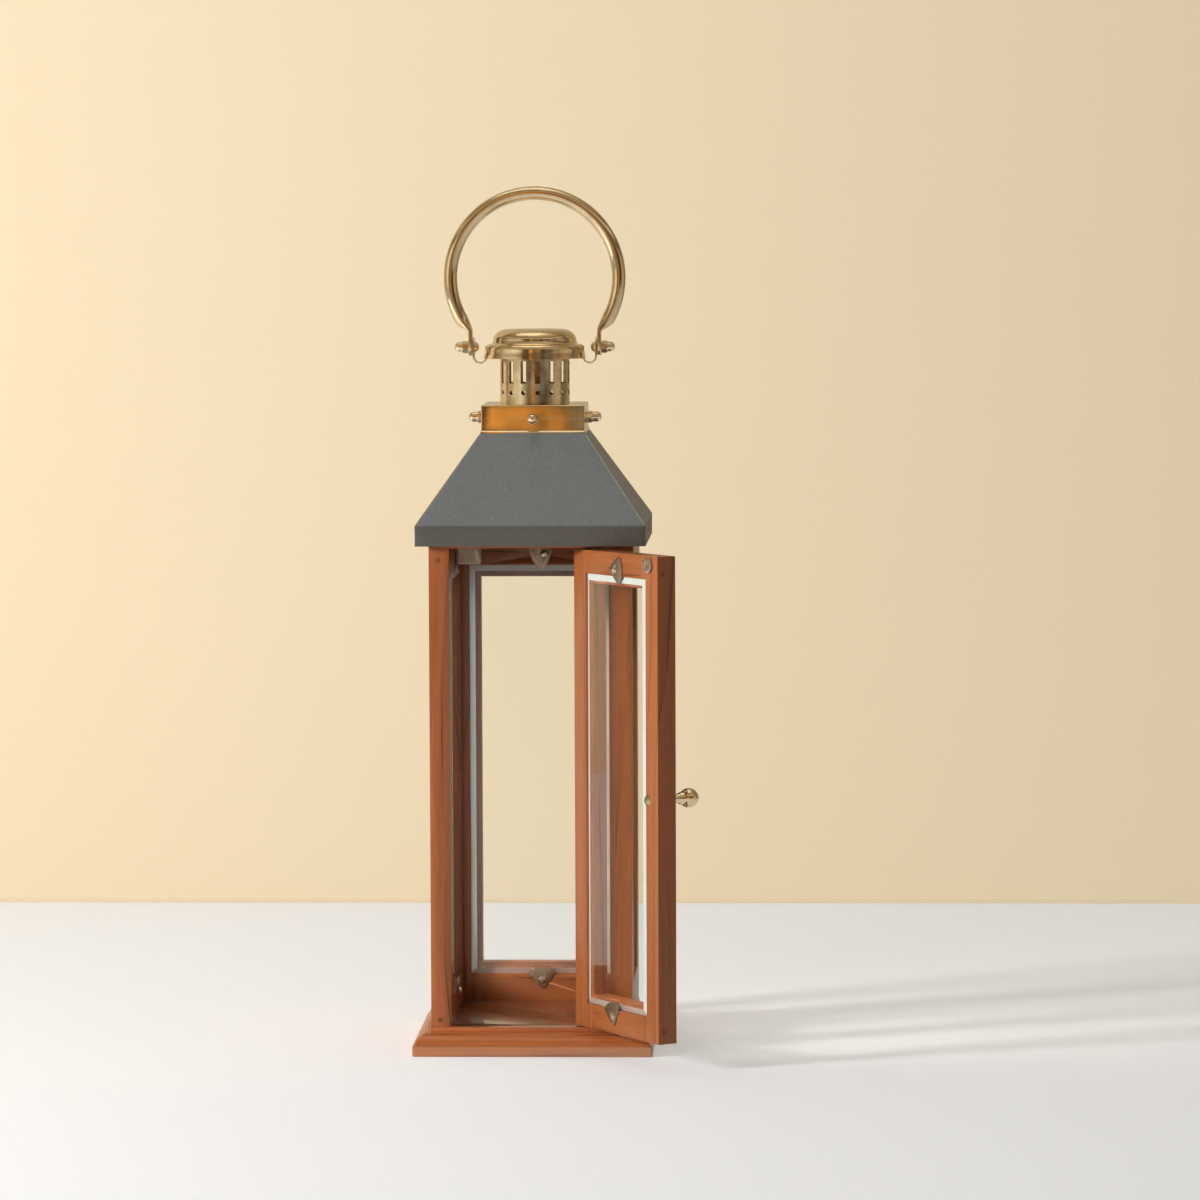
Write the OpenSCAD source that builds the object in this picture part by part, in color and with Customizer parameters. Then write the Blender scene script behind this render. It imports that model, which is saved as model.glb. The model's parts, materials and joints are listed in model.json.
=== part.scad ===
// Candle lantern: moulded base, glazed wooden body with a hinged door, hipped sheet-metal hood,
// slotted chimney and a ring bail. Millimetres, +Z up, front towards -Y, origin under the middle.

/* [Base] */
// How far the moulded plinth stands out from the body on each side
base_over = 13.5; // [9:0.5:25]
// Height of the plinth
base_h = 16.8; // [15:0.1:24]
// Height of the square lip round the plinth
lip_h = 7.6; // [5:0.1:10]
// Radius of the rounded moulding above the lip
ovolo_r = 13; // [11:0.5:14]
// Thickness of the varnished floor board
board_t = 3.5; // [3:0.1:8]
// How far the floor board shows past the body on each side
board_over = 0.5; // [0:0.1:3]

/* [Body frame] */
// Width and depth of the body
body_w = 150; // [140:1:156]
// Height of the frame from the floor board to its top
frame_h = 369.5; // [320:0.5:420]
// Thickness of the frame's wood
wall = 15; // [13:0.5:18]
// Full-thickness part of a side frame's stile
stile_w = 21; // [20:0.5:24]
// Lip that the glass lies against
lip_w = 9; // [7:0.5:11]
// Full-thickness part of the bottom rails
bottom_rail = 20.4; // [18:0.1:30]
// Full-thickness part of the top rails
top_rail = 36.8; // [34:0.1:44]
// Depth of the rebates that take the glass
rebate_d = 3.8; // [3.6:0.1:6]
// Height of the rail over the door
header_h = 16.1; // [15:0.1:19]
// Depth of the rail over the door
header_d = 30; // [26:1:40]

/* [Joinery] */
// Diameter of the dowels
dowel_d = 4; // [3:0.5:4]
// Length of a dowel
dowel_len = 40; // [36:1:48]
// Height of the low side dowels above the floor board
side_dowel_low = 5.3; // [4:0.1:6]
// Depth of the high side dowels below the frame's top
side_dowel_high = 24.8; // [23:0.1:26]
// Height of the low back dowels above the floor board
back_dowel_low = 15.7; // [14.5:0.1:17]
// Depth of the high back dowels below the frame's top
back_dowel_high = 14.8; // [13:0.1:16]
// Distance of the side dowels from the body's outer face
dowel_in = 7; // [6:0.1:8]
// Shank diameter of the screws up through the base
base_screw_d = 3.5; // [3:0.1:3.6]
// Length of the screws up through the base
base_screw_len = 50; // [35:1:60]
// Distance of the base screws from the body's side
base_screw_side = 11.5; // [11:0.1:12]
// Distance of the base screws from the body's front or back
base_screw_end = 14; // [13:0.5:16]

/* [Glass] */
// Thickness of the panes
glass_t = 3.5; // [3:0.1:3.5]
// Play round a pane in its rebate
glass_play = 0.3; // [0.2:0.1:1]
// Width of the ground bevel round a pane
bevel_w = 4.5; // [2:0.5:10]
// Thickness of a pane at the edge of its bevel
bevel_edge = 2; // [1:0.1:2.6]

/* [Door] */
// Gap between the door and each front stile
door_side_gap = 1.35; // [1:0.05:2]
// Gap under the door
door_floor_gap = 0.7; // [0.5:0.1:2]
// Gap over the door
door_top_gap = 0.8; // [0.5:0.1:2]
// Thickness of the door
door_t = 15; // [13:0.5:15]
// Full-thickness part of the door's stiles
door_stile = 16.5; // [16.5:0.5:22]
// Lip that the door's glass lies against
door_lip = 7; // [5:0.5:9]
// Full-thickness part of the door's top rail
door_top_rail = 17; // [16:0.5:24]
// Full-thickness part of the door's bottom rail
door_bottom_rail = 18; // [16:0.5:26]
// Distance of the hinge pins from the door's hinge edge
pivot_in = 12; // [10:0.5:13]
// Distance of the hinge pins from the door's outer face
pivot_deep = 4.5; // [4:0.1:5]
// Diameter of the hinge pins
pin_d = 4; // [3:0.5:4]
// Length of a hinge pin inside the door
pin_in_door = 12; // [8:0.5:20]
// Length of a hinge pin inside the frame
pin_in_frame = 9; // [6:0.5:10]
// Running clearance round a hinge pin
pin_play = 0.075; // [0.05:0.005:0.1]
// How far the door stands open
door_open = 123; // [0:1:140]
// Depth of the door's dowels below its outer face
door_dowel_deep = 10.5; // [9.5:0.1:10.5]
// Length of the door's dowels
door_dowel_len = 35; // [30:1:38]
// Distance of the door's top dowels from its top edge
door_dowel_top = 12.5; // [12:0.1:13.5]
// Distance of the door's bottom dowels from its bottom edge
door_dowel_bottom = 9; // [8:0.1:10]

/* [Knob] */
// Distance of the knob from the door's free edge
knob_in = 14.5; // [13:0.1:14.5]
// Height of the knob above the floor board
knob_up = 176.2; // [100:0.1:240]
// Diameter of the knob's ball
knob_d = 14.4; // [10:0.1:20]
// Distance of the ball's centre from the door
knob_reach = 19.8; // [15:0.1:26]
// Diameter of the knob's foot
knob_foot_d = 5.5; // [5:0.1:9]
// Diameter of the neck where it meets the ball
knob_neck_d = 9; // [6:0.1:10]
// Shank diameter of the knob's screw
knob_screw_d = 3; // [2.5:0.1:3.2]
// Head diameter of the knob's screw
knob_head_d = 8; // [6:0.1:9]
// Length of the knob's screw inside the knob
knob_thread = 8; // [5:0.5:12]

/* [Catch] */
// Width of the magnetic catch
catch_w = 17.8; // [16:0.1:24]
// Height of the magnetic catch
catch_h = 12.7; // [10:0.1:14]
// Depth of the magnetic catch
catch_d = 14; // [10:0.5:18]
// Width of the magnet in the catch
magnet_w = 8.6; // [6:0.1:9]
// How far the magnet stands proud of its housing
magnet_proud = 0.4; // [0.2:0.1:0.4]
// Diameter of the catch's screws
catch_screw_d = 2.4; // [2:0.1:2.8]
// Length of the catch's screws in the header
catch_screw_len = 8; // [5:0.5:12]
// Gap between the magnet and the strike with the door closed
strike_gap = 0.1; // [0.05:0.05:0.5]
// Diameter of the steel strike on the door
strike_d = 11; // [8:0.5:13]
// Thickness of the strike
strike_t = 2; // [1:0.1:2.5]
// Distance of the strike from the door's free edge
strike_in = 12; // [10:0.5:13]
// Distance of the strike from the door's top edge
strike_down = 6.7; // [6.7:0.1:7]
// Diameter of the strike's screw
strike_screw_d = 2.4; // [2:0.1:3]
// Length of the strike's screw in the wood
strike_screw_len = 7; // [5:0.5:10]

/* [Turn buttons] */
// Length of a turn button from its tip to its arc
clip_len = 17.3; // [14:0.1:17.6]
// Half angle of the fan of a turn button, to the middle of its rounded corners
clip_fan = 28; // [15:1:30]
// Thickness of a turn button
clip_t = 1; // [0.8:0.1:1.2]
// Radius of a turn button's rounded corners
clip_corner = 3; // [2:0.1:4]
// Radius of a turn button's tip
clip_tip = 1.5; // [1:0.1:2]
// Distance of the screw from the tip
clip_hole_in = 7; // [6:0.1:9]
// Diameter of a turn button's screw
clip_screw_d = 3; // [2.5:0.1:3.5]
// Running clearance round that screw
clip_bore_play = 0.05; // [0.03:0.01:0.1]
// Play of a turn button under its screw head
clip_lift = 0.1; // [0.05:0.05:0.2]
// Head diameter of a turn button's screw
clip_head_d = 6.4; // [5:0.1:7]
// Head height of a turn button's screw
clip_head_h = 2.2; // [1.5:0.1:2.4]
// Length of a turn button's screw in the wood
clip_screw_len = 9; // [6:0.5:10]
// Distance of the body's upper turn buttons above the rebate
clip_up_high = 8.3; // [6:0.1:9]
// Distance of the body's lower turn buttons below the rebate
clip_down_low = 4.3; // [3:0.1:6]
// Distance of the door's turn buttons from the rebate
clip_door_in = 4.8; // [4:0.1:4.8]
// Distance of the door's upper turn button from the hinge edge
clip_door_top_x = 58.7; // [45:0.1:70]
// Distance of the door's lower turn button from the hinge edge
clip_door_bottom_x = 54.3; // [45:0.1:70]
// How far the door's upper turn button is turned from its fan pointing sideways
clip_door_top_turn = 182; // [0:1:359]
// How far the door's lower turn button is turned
clip_door_bottom_turn = 78; // [0:1:359]
// How far the back's upper turn button is turned
clip_back_top_turn = 212; // [0:1:359]
// How far the back's lower turn button is turned
clip_back_bottom_turn = 93; // [0:1:359]
// Sideways place of the back's upper turn button
clip_back_top_x = 3.4; // [-20:0.1:20]
// Sideways place of the back's lower turn button
clip_back_bottom_x = 0.4; // [-20:0.1:20]

/* [Hood] */
// How far the hood's skirt stands out from the body on each side
skirt_over = 9.5; // [8.5:0.1:13]
// Height of the skirt
skirt_h = 15.3; // [14:0.1:20]
// How far the skirt hangs below the frame's top
skirt_drop = 14.3; // [13:0.1:15]
// Height of the slope from the skirt to the collar
hood_rise = 66.5; // [50:0.5:90]
// Thickness of the hood's sheet
hood_t = 1; // [0.8:0.1:1.2]
// Height of the neck inside the collar
neck_h = 11.2; // [11:0.1:13]
// Height of the wooden battens inside the skirt
batten_h = 13.5; // [12:0.1:14]
// Gap between the battens and the skirt
batten_gap = 0.1; // [0.05:0.05:0.2]
// Diameter of the bead along the hips
bead_d = 1.6; // [1.2:0.1:2.4]
// Diameter of the hood's screws
hood_screw_d = 3; // [2:0.1:4]
// Length of the hood's screws
hood_screw_len = 18; // [13:1:20]

/* [Collar] */
// Width of the square collar
collar_w = 76.3; // [74:0.1:84]
// Height of the collar above the slope
collar_h = 20; // [17:0.5:30]
// Thickness of the collar's sheet
collar_t = 1; // [0.8:0.1:1.2]
// Gap between the collar and the neck
collar_gap = 0.1; // [0.05:0.05:0.3]
// How far the rim stands out from the collar
rim_over = 0.8; // [0.4:0.1:1.5]
// Height of the rim
rim_h = 1.8; // [1:0.1:3]
// Height of the bolts above the collar's foot
bolt_up = 10; // [9:0.1:10.2]
// Diameter of the bolts
bolt_d = 5; // [4:0.5:5]
// Width of a cap nut across its flats
nut_af = 8; // [8:0.1:10]
// Height of a cap nut's hexagon
nut_hex_h = 4.4; // [3:0.1:6]
// Length of a cap nut on the collar
collar_nut_len = 11.4; // [9:0.1:14]
// Length of a cap nut on the bail
bail_nut_len = 10; // [9:0.1:14]

/* [Chimney] */
// Diameter of the chimney tube
tube_d = 51.6; // [44:0.1:56]
// Thickness of the tube's wall
tube_t = 0.8; // [0.6:0.1:1.2]
// Diameter of the flange at the tube's foot
flange_d = 58; // [57:0.5:64]
// Number of places round the tube, one of which is left whole at the seam
slot_count = 15; // [9:1:18]
// Width of a slot
slot_w = 4.2; // [2:0.1:5]
// Length of a slot
slot_len = 16.5; // [8:0.5:17]
// Height of the slots above the collar
slot_up = 15.3; // [14:0.1:16]
// Turn of the first slot from the front
slot_turn = 7.2; // [0:0.1:24]
// Diameter of the round holes under the slots
vent_d = 3.4; // [2:0.1:5]
// Height of the round holes above the collar
vent_up = 8.5; // [6:0.1:9]

/* [Cap] */
// Diameter of the cap's brim
cap_d = 76; // [70:0.5:77]
// Gap between the collar's top and the cap's brim
cap_gap = 33.6; // [33:0.1:40]
// Height of the brim
brim_h = 10.5; // [8:0.1:14]
// Radius of the brim's shoulder
brim_round = 2.5; // [1.5:0.1:2.6]
// Diameter of the dome
dome_d = 62; // [54:0.5:64]
// Height of the dome above the brim
dome_h = 11.2; // [8:0.1:16]
// Radius of the dome's shoulder
dome_round = 9; // [4:0.1:10]
// Thickness of the cap's sheet
cap_t = 0.8; // [0.6:0.1:1]

/* [Bail] */
// Width of the strap that carries the bail
strap_w = 12; // [10:0.5:12]
// Thickness of the strap
strap_t = 1.2; // [1:0.1:1.4]
// How far the strap's ears stand out from the cap's brim
ear_out = 6.9; // [6:0.1:10]
// Height of the pivot above the cap's brim edge
pivot_up = 8.4; // [7:0.1:9]
// Height of the ears above the pivot
ear_up = 7.3; // [6:0.1:8]
// Depth of the strap's bend below the pivot
bend_down = 12.5; // [12:0.1:14]
// Play between an ear, the bail and its nut
bail_play = 0.2; // [0.1:0.05:0.4]
// Running clearance of the bail on its bolts
bail_bore_play = 0.05; // [0.03:0.01:0.1]
// Radius of the ring to the middle of its bar
ring_r = 62.7; // [60:0.1:66]
// Diameter of the ring's bar
bar_d = 10; // [7:0.5:10]
// Height of the ring's middle above the pivot
ring_up = 51.4; // [49:0.1:53]
// Angle below the middle at which the round bar ends
ring_end = 31; // [28:1:33]
// Thickness of the flattened ends
tongue_t = 3.2; // [2.5:0.1:4]
// Width of the flattened ends
tongue_w = 13; // [11:0.5:14]
// Height at which a flattened end starts to swell into the bar
tongue_up = 12; // [11:0.5:13]
// Diameter of a bolt's domed head
bolt_head_d = 8.4; // [7:0.1:9]
// Height of a bolt's domed head
bolt_head_h = 3.4; // [2.5:0.1:4]

/* [Hidden] */
$fn = 64;
hull_fn = 32;
eps = 0.01;
far = 20;
slot_cut_w = 0.8;
slot_cut_deep = 0.7;
nut_dome = 0.47;
bolt_short = 0.5;
bore_end = 0.3;

body_r = body_w / 2;
base_w = body_w + 2 * base_over;
skirt_w = body_w + 2 * skirt_over;
inner_r = body_r - wall;
floor_z = base_h + board_t;
frame_top = floor_z + frame_h;
ovolo_z = base_h - ovolo_r;
ovolo_x = base_w / 2 - sqrt(ovolo_r * ovolo_r - (lip_h - ovolo_z) * (lip_h - ovolo_z));

rebate_y = body_r - stile_w;
clear_y = rebate_y - lip_w;
rebate_low = floor_z + bottom_rail;
rebate_high = frame_top - top_rail;
clear_low = rebate_low + lip_w;
clear_high = rebate_high - lip_w;
header_z = frame_top - header_h;

side_dowel_x = body_r - dowel_in;
back_dowel_y = body_r - wall / 2;
header_dowel_y = -body_r + wall;
header_dowel_z = frame_top - header_h / 2;
base_screw_x = body_r - base_screw_side;
base_screw_y = body_r - base_screw_end;
base_head_h = 2;

door_w = 2 * (inner_r - door_side_gap);
door_edge = door_w / 2;
door_low = floor_z + door_floor_gap;
door_high = header_z - door_top_gap;
door_face = -body_r;
door_inner = door_face + door_t;
door_rebate_x = door_edge - door_stile;
door_clear_x = door_rebate_x - door_lip;
door_rebate_low = door_low + door_bottom_rail;
door_rebate_high = door_high - door_top_rail;
hinge_x = door_edge - pivot_in;
hinge_y = door_face + pivot_deep;
door_dowel_y = door_face + door_dowel_deep;
knob_x = -door_edge + knob_in;
knob_z = floor_z + knob_up;
strike_x = -door_edge + strike_in;
strike_z = door_high - strike_down;
catch_front = door_inner + strike_t + strike_gap + magnet_proud;

knob_plate_t = 1.2;
knob_plate_over = 2.5;
knob_head_h = 2;
knob_ball_cut = sqrt(knob_d * knob_d - knob_neck_d * knob_neck_d) / 2;
strike_head_h = 1.2;
catch_deep = catch_front + catch_d;
catch_low = header_z - catch_h;
catch_screw_x = (catch_w + magnet_w) / 4;
catch_screw_y = catch_front + catch_d * 0.4;
catch_head_d = 1.5 * catch_screw_d;
catch_head_h = 1.4;
housing_wall = 2;
housing_corner = 1.2;

clip_reach_x = clip_len - clip_corner;
clip_high_z = rebate_high + clip_up_high;
clip_low_z = rebate_low - clip_down_low;

fold_z = frame_top - skirt_drop + skirt_h;
skirt_low = frame_top - skirt_drop;
skirt_r = skirt_w / 2;
collar_r = collar_w / 2;
slope = (skirt_r - collar_r) / hood_rise;
slope_len = sqrt(1 + slope * slope);
sheet_run = hood_t * slope_len;
neck_r = collar_r - collar_t - collar_gap;
batten_r = skirt_r - hood_t - batten_gap;
inner_fold_z = fold_z - (sheet_run - hood_t) / slope;
collar_z = fold_z + hood_rise;
collar_top = collar_z + collar_h;
bolt_z = collar_z + bolt_up;
nut_thread = nut_hex_h + 1;
hood_screw_z = skirt_low + skirt_h / 2;
hood_head_h = 1.6;
bead_sink = 0.3 * bead_d;
neck_top = fold_z + (skirt_r - neck_r) / slope + neck_h;

tube_r = tube_d / 2;
tube_foot = collar_top - collar_t - tube_t;
cap_r = cap_d / 2;
ear_x = cap_r + ear_out;
brim_low = collar_top + cap_gap;
brim_top = brim_low + brim_h;
dome_top = brim_top + dome_h;
strap_top = brim_top - cap_t;
strap_low = strap_top - strap_t;
pivot_z = brim_low + pivot_up;
arm_gap = 0.1;
arm_x = sqrt((cap_r - cap_t) * (cap_r - cap_t) - strap_w * strap_w / 4) - arm_gap;
bend_r = (ear_x - arm_x) / 2;
bend_x = (ear_x + arm_x) / 2;
bend_z = pivot_z - bend_down + bend_r + strap_t;
strap_inner_r = 0.7;
shoulder_r = strap_inner_r + strap_t;
tongue_x = ear_x + strap_t + bail_play;
nut_x = tongue_x + tongue_t + bail_play;
ring_z = pivot_z + ring_up;
swell_over = 0.3;
swell_turn = 2;

wood = "#9a5a2c";
door_wood = "#b5713a";
base_wood = "#8a4a24";
glass = [0.8, 0.9, 0.88, 0.35];
sheet = "#6d7078";
copper = "#b98a52";
bright = "#d8c9a0";
brass = "#c9a04a";
steel = "#a09a8c";

// ---- shapes that repeat ----

// A box between two corners
module block(low, high) {
    translate(low) cube(high - low);
}

// A pin along X, Y or Z from a starting point
module pin_x(at, len, d) {
    translate(at) rotate([0, 90, 0]) cylinder(h = len, d = d);
}
module pin_y(at, len, d) {
    translate(at) rotate([-90, 0, 0]) cylinder(h = len, d = d);
}
module pin_z(at, len, d) {
    translate(at) cylinder(h = len, d = d);
}

// A square ring of revolution replaced by two crossed extrusions of one outline
module crossed(reach) {
    intersection() {
        rotate([90, 0, 0]) linear_extrude(2 * reach, center = true) children();
        rotate([90, 0, 90]) linear_extrude(2 * reach, center = true) children();
    }
}

// A rectangle with round corners
module rounded_rect(w, h, r) {
    square([w - 2 * r, h], center = true);
    square([w, h - 2 * r], center = true);
    for (sx = [-1, 1]) for (sy = [-1, 1]) translate([sx * (w / 2 - r), sy * (h / 2 - r)]) circle(r);
}

// Children in the left half, and again in the right half
module both_sides() {
    children();
    mirror([1, 0, 0]) children();
}

// A round screw head that stands on z = 0, with a slot
module round_head(d, h) {
    ball_r = (d * d / 4 + h * h) / (2 * h);
    difference() {
        intersection() {
            translate([0, 0, h - ball_r]) sphere(ball_r, $fn = 96);
            cylinder(h = h, d = d);
        }
        translate([-d, -slot_cut_w / 2, h - slot_cut_deep]) cube([2 * d, slot_cut_w, h]);
    }
}

// A screw with a round head on z = 0 and its shank below
module round_screw(head_d, head_h, d, len) {
    round_head(head_d, head_h);
    translate([0, 0, -len]) cylinder(h = len + eps, d = d);
}

// A domed head without a slot, standing on z = 0
module domed_head(d, h) {
    ball_r = (d * d / 4 + h * h) / (2 * h);
    intersection() {
        translate([0, 0, h - ball_r]) sphere(ball_r, $fn = 96);
        cylinder(h = h, d = d);
    }
}

// A cap nut on z = 0, drilled for its bolt
module cap_nut(len) {
    dome_r = nut_af * nut_dome;
    difference() {
        union() {
            cylinder(h = nut_hex_h, d = nut_af / cos(30), $fn = 6);
            cylinder(h = len - dome_r, r = dome_r);
            translate([0, 0, len - dome_r]) sphere(dome_r);
        }
        translate([0, 0, -eps]) cylinder(h = nut_thread + eps, d = bolt_d);
    }
}

// Places a thing that stands on z = 0 on the right-hand face, pointing outwards
module on_right(x, z) {
    translate([x, 0, z]) rotate([0, 90, 0]) children();
}

// ---- base ----

module base_outline() {
    translate([-base_w / 2, 0]) square([base_w, lip_h]);
    intersection() {
        translate([-base_w / 2, 0]) square([base_w, base_h]);
        union() {
            for (side = [-1, 1]) translate([side * ovolo_x, ovolo_z]) circle(ovolo_r, $fn = 128);
            translate([-ovolo_x, 0]) square([2 * ovolo_x, base_h]);
        }
    }
}

module base_screw_places() {
    for (sx = [-1, 1]) for (sy = [-1, 1]) translate([sx * base_screw_x, sy * base_screw_y, 0]) children();
}

module base_screw() {
    cylinder(h = base_head_h, d1 = 2 * base_screw_d, d2 = base_screw_d);
    cylinder(h = base_screw_len, d = base_screw_d);
}

module hinge_bore(z, len) {
    translate([hinge_x, hinge_y, z]) cylinder(h = len, d = pin_d + 2 * pin_play);
}

module base_plinth() {
    color(base_wood) difference() {
        crossed(base_w) base_outline();
        base_screw_places() base_screw();
        hinge_bore(floor_z - pin_in_frame - bore_end, pin_in_frame);
    }
}

module floor_board() {
    color(wood) difference() {
        half = body_r + board_over;
        block([-half, -half, base_h], [half, half, floor_z]);
        base_screw_places() base_screw();
        hinge_bore(base_h - 1, board_t + 2);
    }
}

module base_screws() {
    color(steel) base_screw_places() difference() {
        base_screw();
        translate([-base_screw_d, -slot_cut_w / 2, -eps]) cube([2 * base_screw_d, slot_cut_w, slot_cut_deep]);
    }
}

// ---- body frame ----

module dowel_x(side, y, z) {
    x = side > 0 ? body_r - dowel_len : -body_r;
    pin_x([x, y, z], dowel_len, dowel_d);
}

module dowel_y(x, side, z) {
    y = side > 0 ? body_r - dowel_len : -body_r;
    pin_y([x, y, z], dowel_len, dowel_d);
}

module frame_dowels() {
    color(wood) for (side = [-1, 1]) {
        for (end = [-1, 1]) {
            dowel_y(side * side_dowel_x, end, floor_z + side_dowel_low);
            dowel_y(side * side_dowel_x, end, frame_top - side_dowel_high);
        }
        dowel_x(side, back_dowel_y, floor_z + back_dowel_low);
        dowel_x(side, back_dowel_y, frame_top - back_dowel_high);
        dowel_x(side, header_dowel_y, header_dowel_z);
    }
}

// The rebate of the left frame, which the other frames turn to their own side
module side_rebate() {
    block([-inner_r - rebate_d, -rebate_y, rebate_low], [-inner_r + far, rebate_y, rebate_high]);
}

module side_clip_holes() {
    for (z = [clip_low_z, clip_high_z])
        pin_x([-inner_r - clip_screw_len, 0, z], clip_screw_len + 1, clip_screw_d);
}

module side_stile(y_low, y_high) {
    difference() {
        block([-body_r, y_low, floor_z], [-inner_r, y_high, frame_top]);
        side_rebate();
        frame_dowels();
        base_screw_places() base_screw();
    }
}

module side_rail(z_low, z_high) {
    difference() {
        block([-body_r, -clear_y, z_low], [-inner_r, clear_y, z_high]);
        side_rebate();
        frame_dowels();
        side_clip_holes();
        hood_screw_holes();
    }
}

module left_front_stile() { color(wood) side_stile(-body_r, -clear_y); }
module left_back_stile() { color(wood) side_stile(clear_y, body_r); }
module left_bottom_rail() { color(wood) side_rail(floor_z, clear_low); }
module left_top_rail() { color(wood) side_rail(clear_high, frame_top); }
module right_front_stile() { mirror([1, 0, 0]) left_front_stile(); }
module right_back_stile() { mirror([1, 0, 0]) left_back_stile(); }
module right_bottom_rail() { mirror([1, 0, 0]) left_bottom_rail(); }
module right_top_rail() { mirror([1, 0, 0]) left_top_rail(); }

module back_rebate() {
    block([-rebate_y, inner_r - far, rebate_low], [rebate_y, inner_r + rebate_d, rebate_high]);
}

module back_stile() {
    difference() {
        block([-inner_r, inner_r, floor_z], [-clear_y, body_r, frame_top]);
        back_rebate();
        frame_dowels();
    }
}

module back_rail(z_low, z_high) {
    difference() {
        block([-clear_y, inner_r, z_low], [clear_y, body_r, z_high]);
        back_rebate();
        frame_dowels();
        pin_y([clip_back_top_x, inner_r - 1, clip_high_z], clip_screw_len + 1, clip_screw_d);
        pin_y([clip_back_bottom_x, inner_r - 1, clip_low_z], clip_screw_len + 1, clip_screw_d);
    }
}

module back_left_stile() { color(wood) back_stile(); }
module back_right_stile() { color(wood) mirror([1, 0, 0]) back_stile(); }
module back_bottom_rail() { color(wood) back_rail(floor_z, clear_low); }
module back_top_rail() { color(wood) back_rail(clear_high, frame_top); }

module front_header() {
    color(wood) difference() {
        block([-inner_r, -body_r, header_z], [inner_r, -body_r + header_d, frame_top]);
        frame_dowels();
        hinge_bore(header_z - 1, pin_in_frame + 1 + bore_end);
        catch_screw_places() cylinder(h = catch_screw_len + eps, d = catch_screw_d);
    }
}

// ---- glass ----

// A pane that stands on its edge in the XZ plane, flat face at y = 0, bevelled face towards -Y
module pane(w, z_low, z_high) {
    h = z_high - z_low;
    translate([0, 0, (z_low + z_high) / 2]) intersection() {
        linear_extrude(h, center = true) pane_section(w);
        rotate([0, 90, 0]) linear_extrude(w, center = true) pane_section(h);
    }
}

module pane_section(w) {
    half = w / 2;
    polygon([[-half, 0], [half, 0], [half, -bevel_edge], [half - bevel_w, -glass_t],
        [bevel_w - half, -glass_t], [-half, -bevel_edge]]);
}

module body_pane() {
    translate([0, inner_r + rebate_d, 0])
        pane(2 * (rebate_y - glass_play), rebate_low + glass_play, rebate_high - glass_play);
}

module back_glass() { color(glass) body_pane(); }
module left_glass() { color(glass) rotate([0, 0, 90]) body_pane(); }
module right_glass() { color(glass) rotate([0, 0, -90]) body_pane(); }

// ---- turn buttons ----

// A turn button in the XZ plane with its screw at the origin, its fan towards +X, proud towards -Y
module turn_button(turn) {
    rotate([0, -turn, 0]) translate([0, -clip_lift, 0]) rotate([90, 0, 0]) difference() {
        linear_extrude(clip_t) hull() {
            translate([clip_tip - clip_hole_in, 0]) circle(clip_tip, $fn = hull_fn);
            for (a = [-1:0.5:1]) translate([-clip_hole_in, 0]) rotate(a * clip_fan)
                translate([clip_reach_x, 0]) circle(clip_corner, $fn = hull_fn);
        }
        translate([0, 0, -1]) cylinder(h = clip_t + 2, d = clip_screw_d + 2 * clip_bore_play);
    }
}

// Its screw, on the same place
module turn_screw() {
    rotate([90, 0, 0]) {
        translate([0, 0, clip_t + 2 * clip_lift]) round_head(clip_head_d, clip_head_h);
        translate([0, 0, -clip_screw_len])
            cylinder(h = clip_screw_len + clip_t + 2 * clip_lift + eps, d = clip_screw_d);
    }
}

module on_back(x, z) { translate([x, inner_r, z]) children(); }
module on_left(z) { rotate([0, 0, 90]) translate([0, inner_r, z]) children(); }
module on_right_side(z) { rotate([0, 0, -90]) translate([0, inner_r, z]) children(); }

module back_top_clip() { color(steel) on_back(clip_back_top_x, clip_high_z) turn_button(clip_back_top_turn); }
module back_bottom_clip() {
    color(steel) on_back(clip_back_bottom_x, clip_low_z) turn_button(clip_back_bottom_turn);
}
module left_top_clip() { color(steel) on_left(clip_high_z) turn_button(-90); }
module left_bottom_clip() { color(steel) on_left(clip_low_z) turn_button(90); }
module right_top_clip() { color(steel) on_right_side(clip_high_z) turn_button(-90); }
module right_bottom_clip() { color(steel) on_right_side(clip_low_z) turn_button(90); }

module frame_clip_screws() {
    color(bright) {
        on_back(clip_back_top_x, clip_high_z) turn_screw();
        on_back(clip_back_bottom_x, clip_low_z) turn_screw();
        for (z = [clip_low_z, clip_high_z]) {
            on_left(z) turn_screw();
            on_right_side(z) turn_screw();
        }
    }
}

// ---- catch ----

module catch_screw_places() {
    for (side = [-1, 1]) translate([strike_x + side * catch_screw_x, catch_screw_y, header_z]) children();
}

module magnet_block() {
    block([strike_x - magnet_w / 2, catch_front - magnet_proud, catch_low + housing_wall],
        [strike_x + magnet_w / 2, catch_deep - 2 * housing_wall, header_z - housing_wall]);
}

module catch_housing() {
    color(steel) difference() {
        translate([strike_x, catch_deep, (header_z + catch_low) / 2]) rotate([90, 0, 0])
            linear_extrude(catch_d) rounded_rect(catch_w, catch_h, housing_corner);
        magnet_block();
        catch_screw_places() translate([0, 0, -catch_h - 1]) cylinder(h = catch_h + 2, d = catch_screw_d);
        catch_screw_places() translate([0, 0, -catch_h - 1]) cylinder(h = 1 + housing_wall, d = catch_head_d);
    }
}

module catch_magnet() { color("#4a4642") magnet_block(); }

module catch_screws() {
    color(steel) catch_screw_places() {
        translate([0, 0, housing_wall - catch_h])
            cylinder(h = catch_h - housing_wall + catch_screw_len, d = catch_screw_d);
        translate([0, 0, housing_wall - catch_h - catch_head_h])
            cylinder(h = catch_head_h + eps, d = catch_head_d);
    }
}

// ---- door ----

// Turns a thing made in the closed position to where the door stands
module door_place() {
    translate([hinge_x, hinge_y, 0]) rotate([0, 0, door_open]) translate([-hinge_x, -hinge_y, 0]) children();
}

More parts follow.
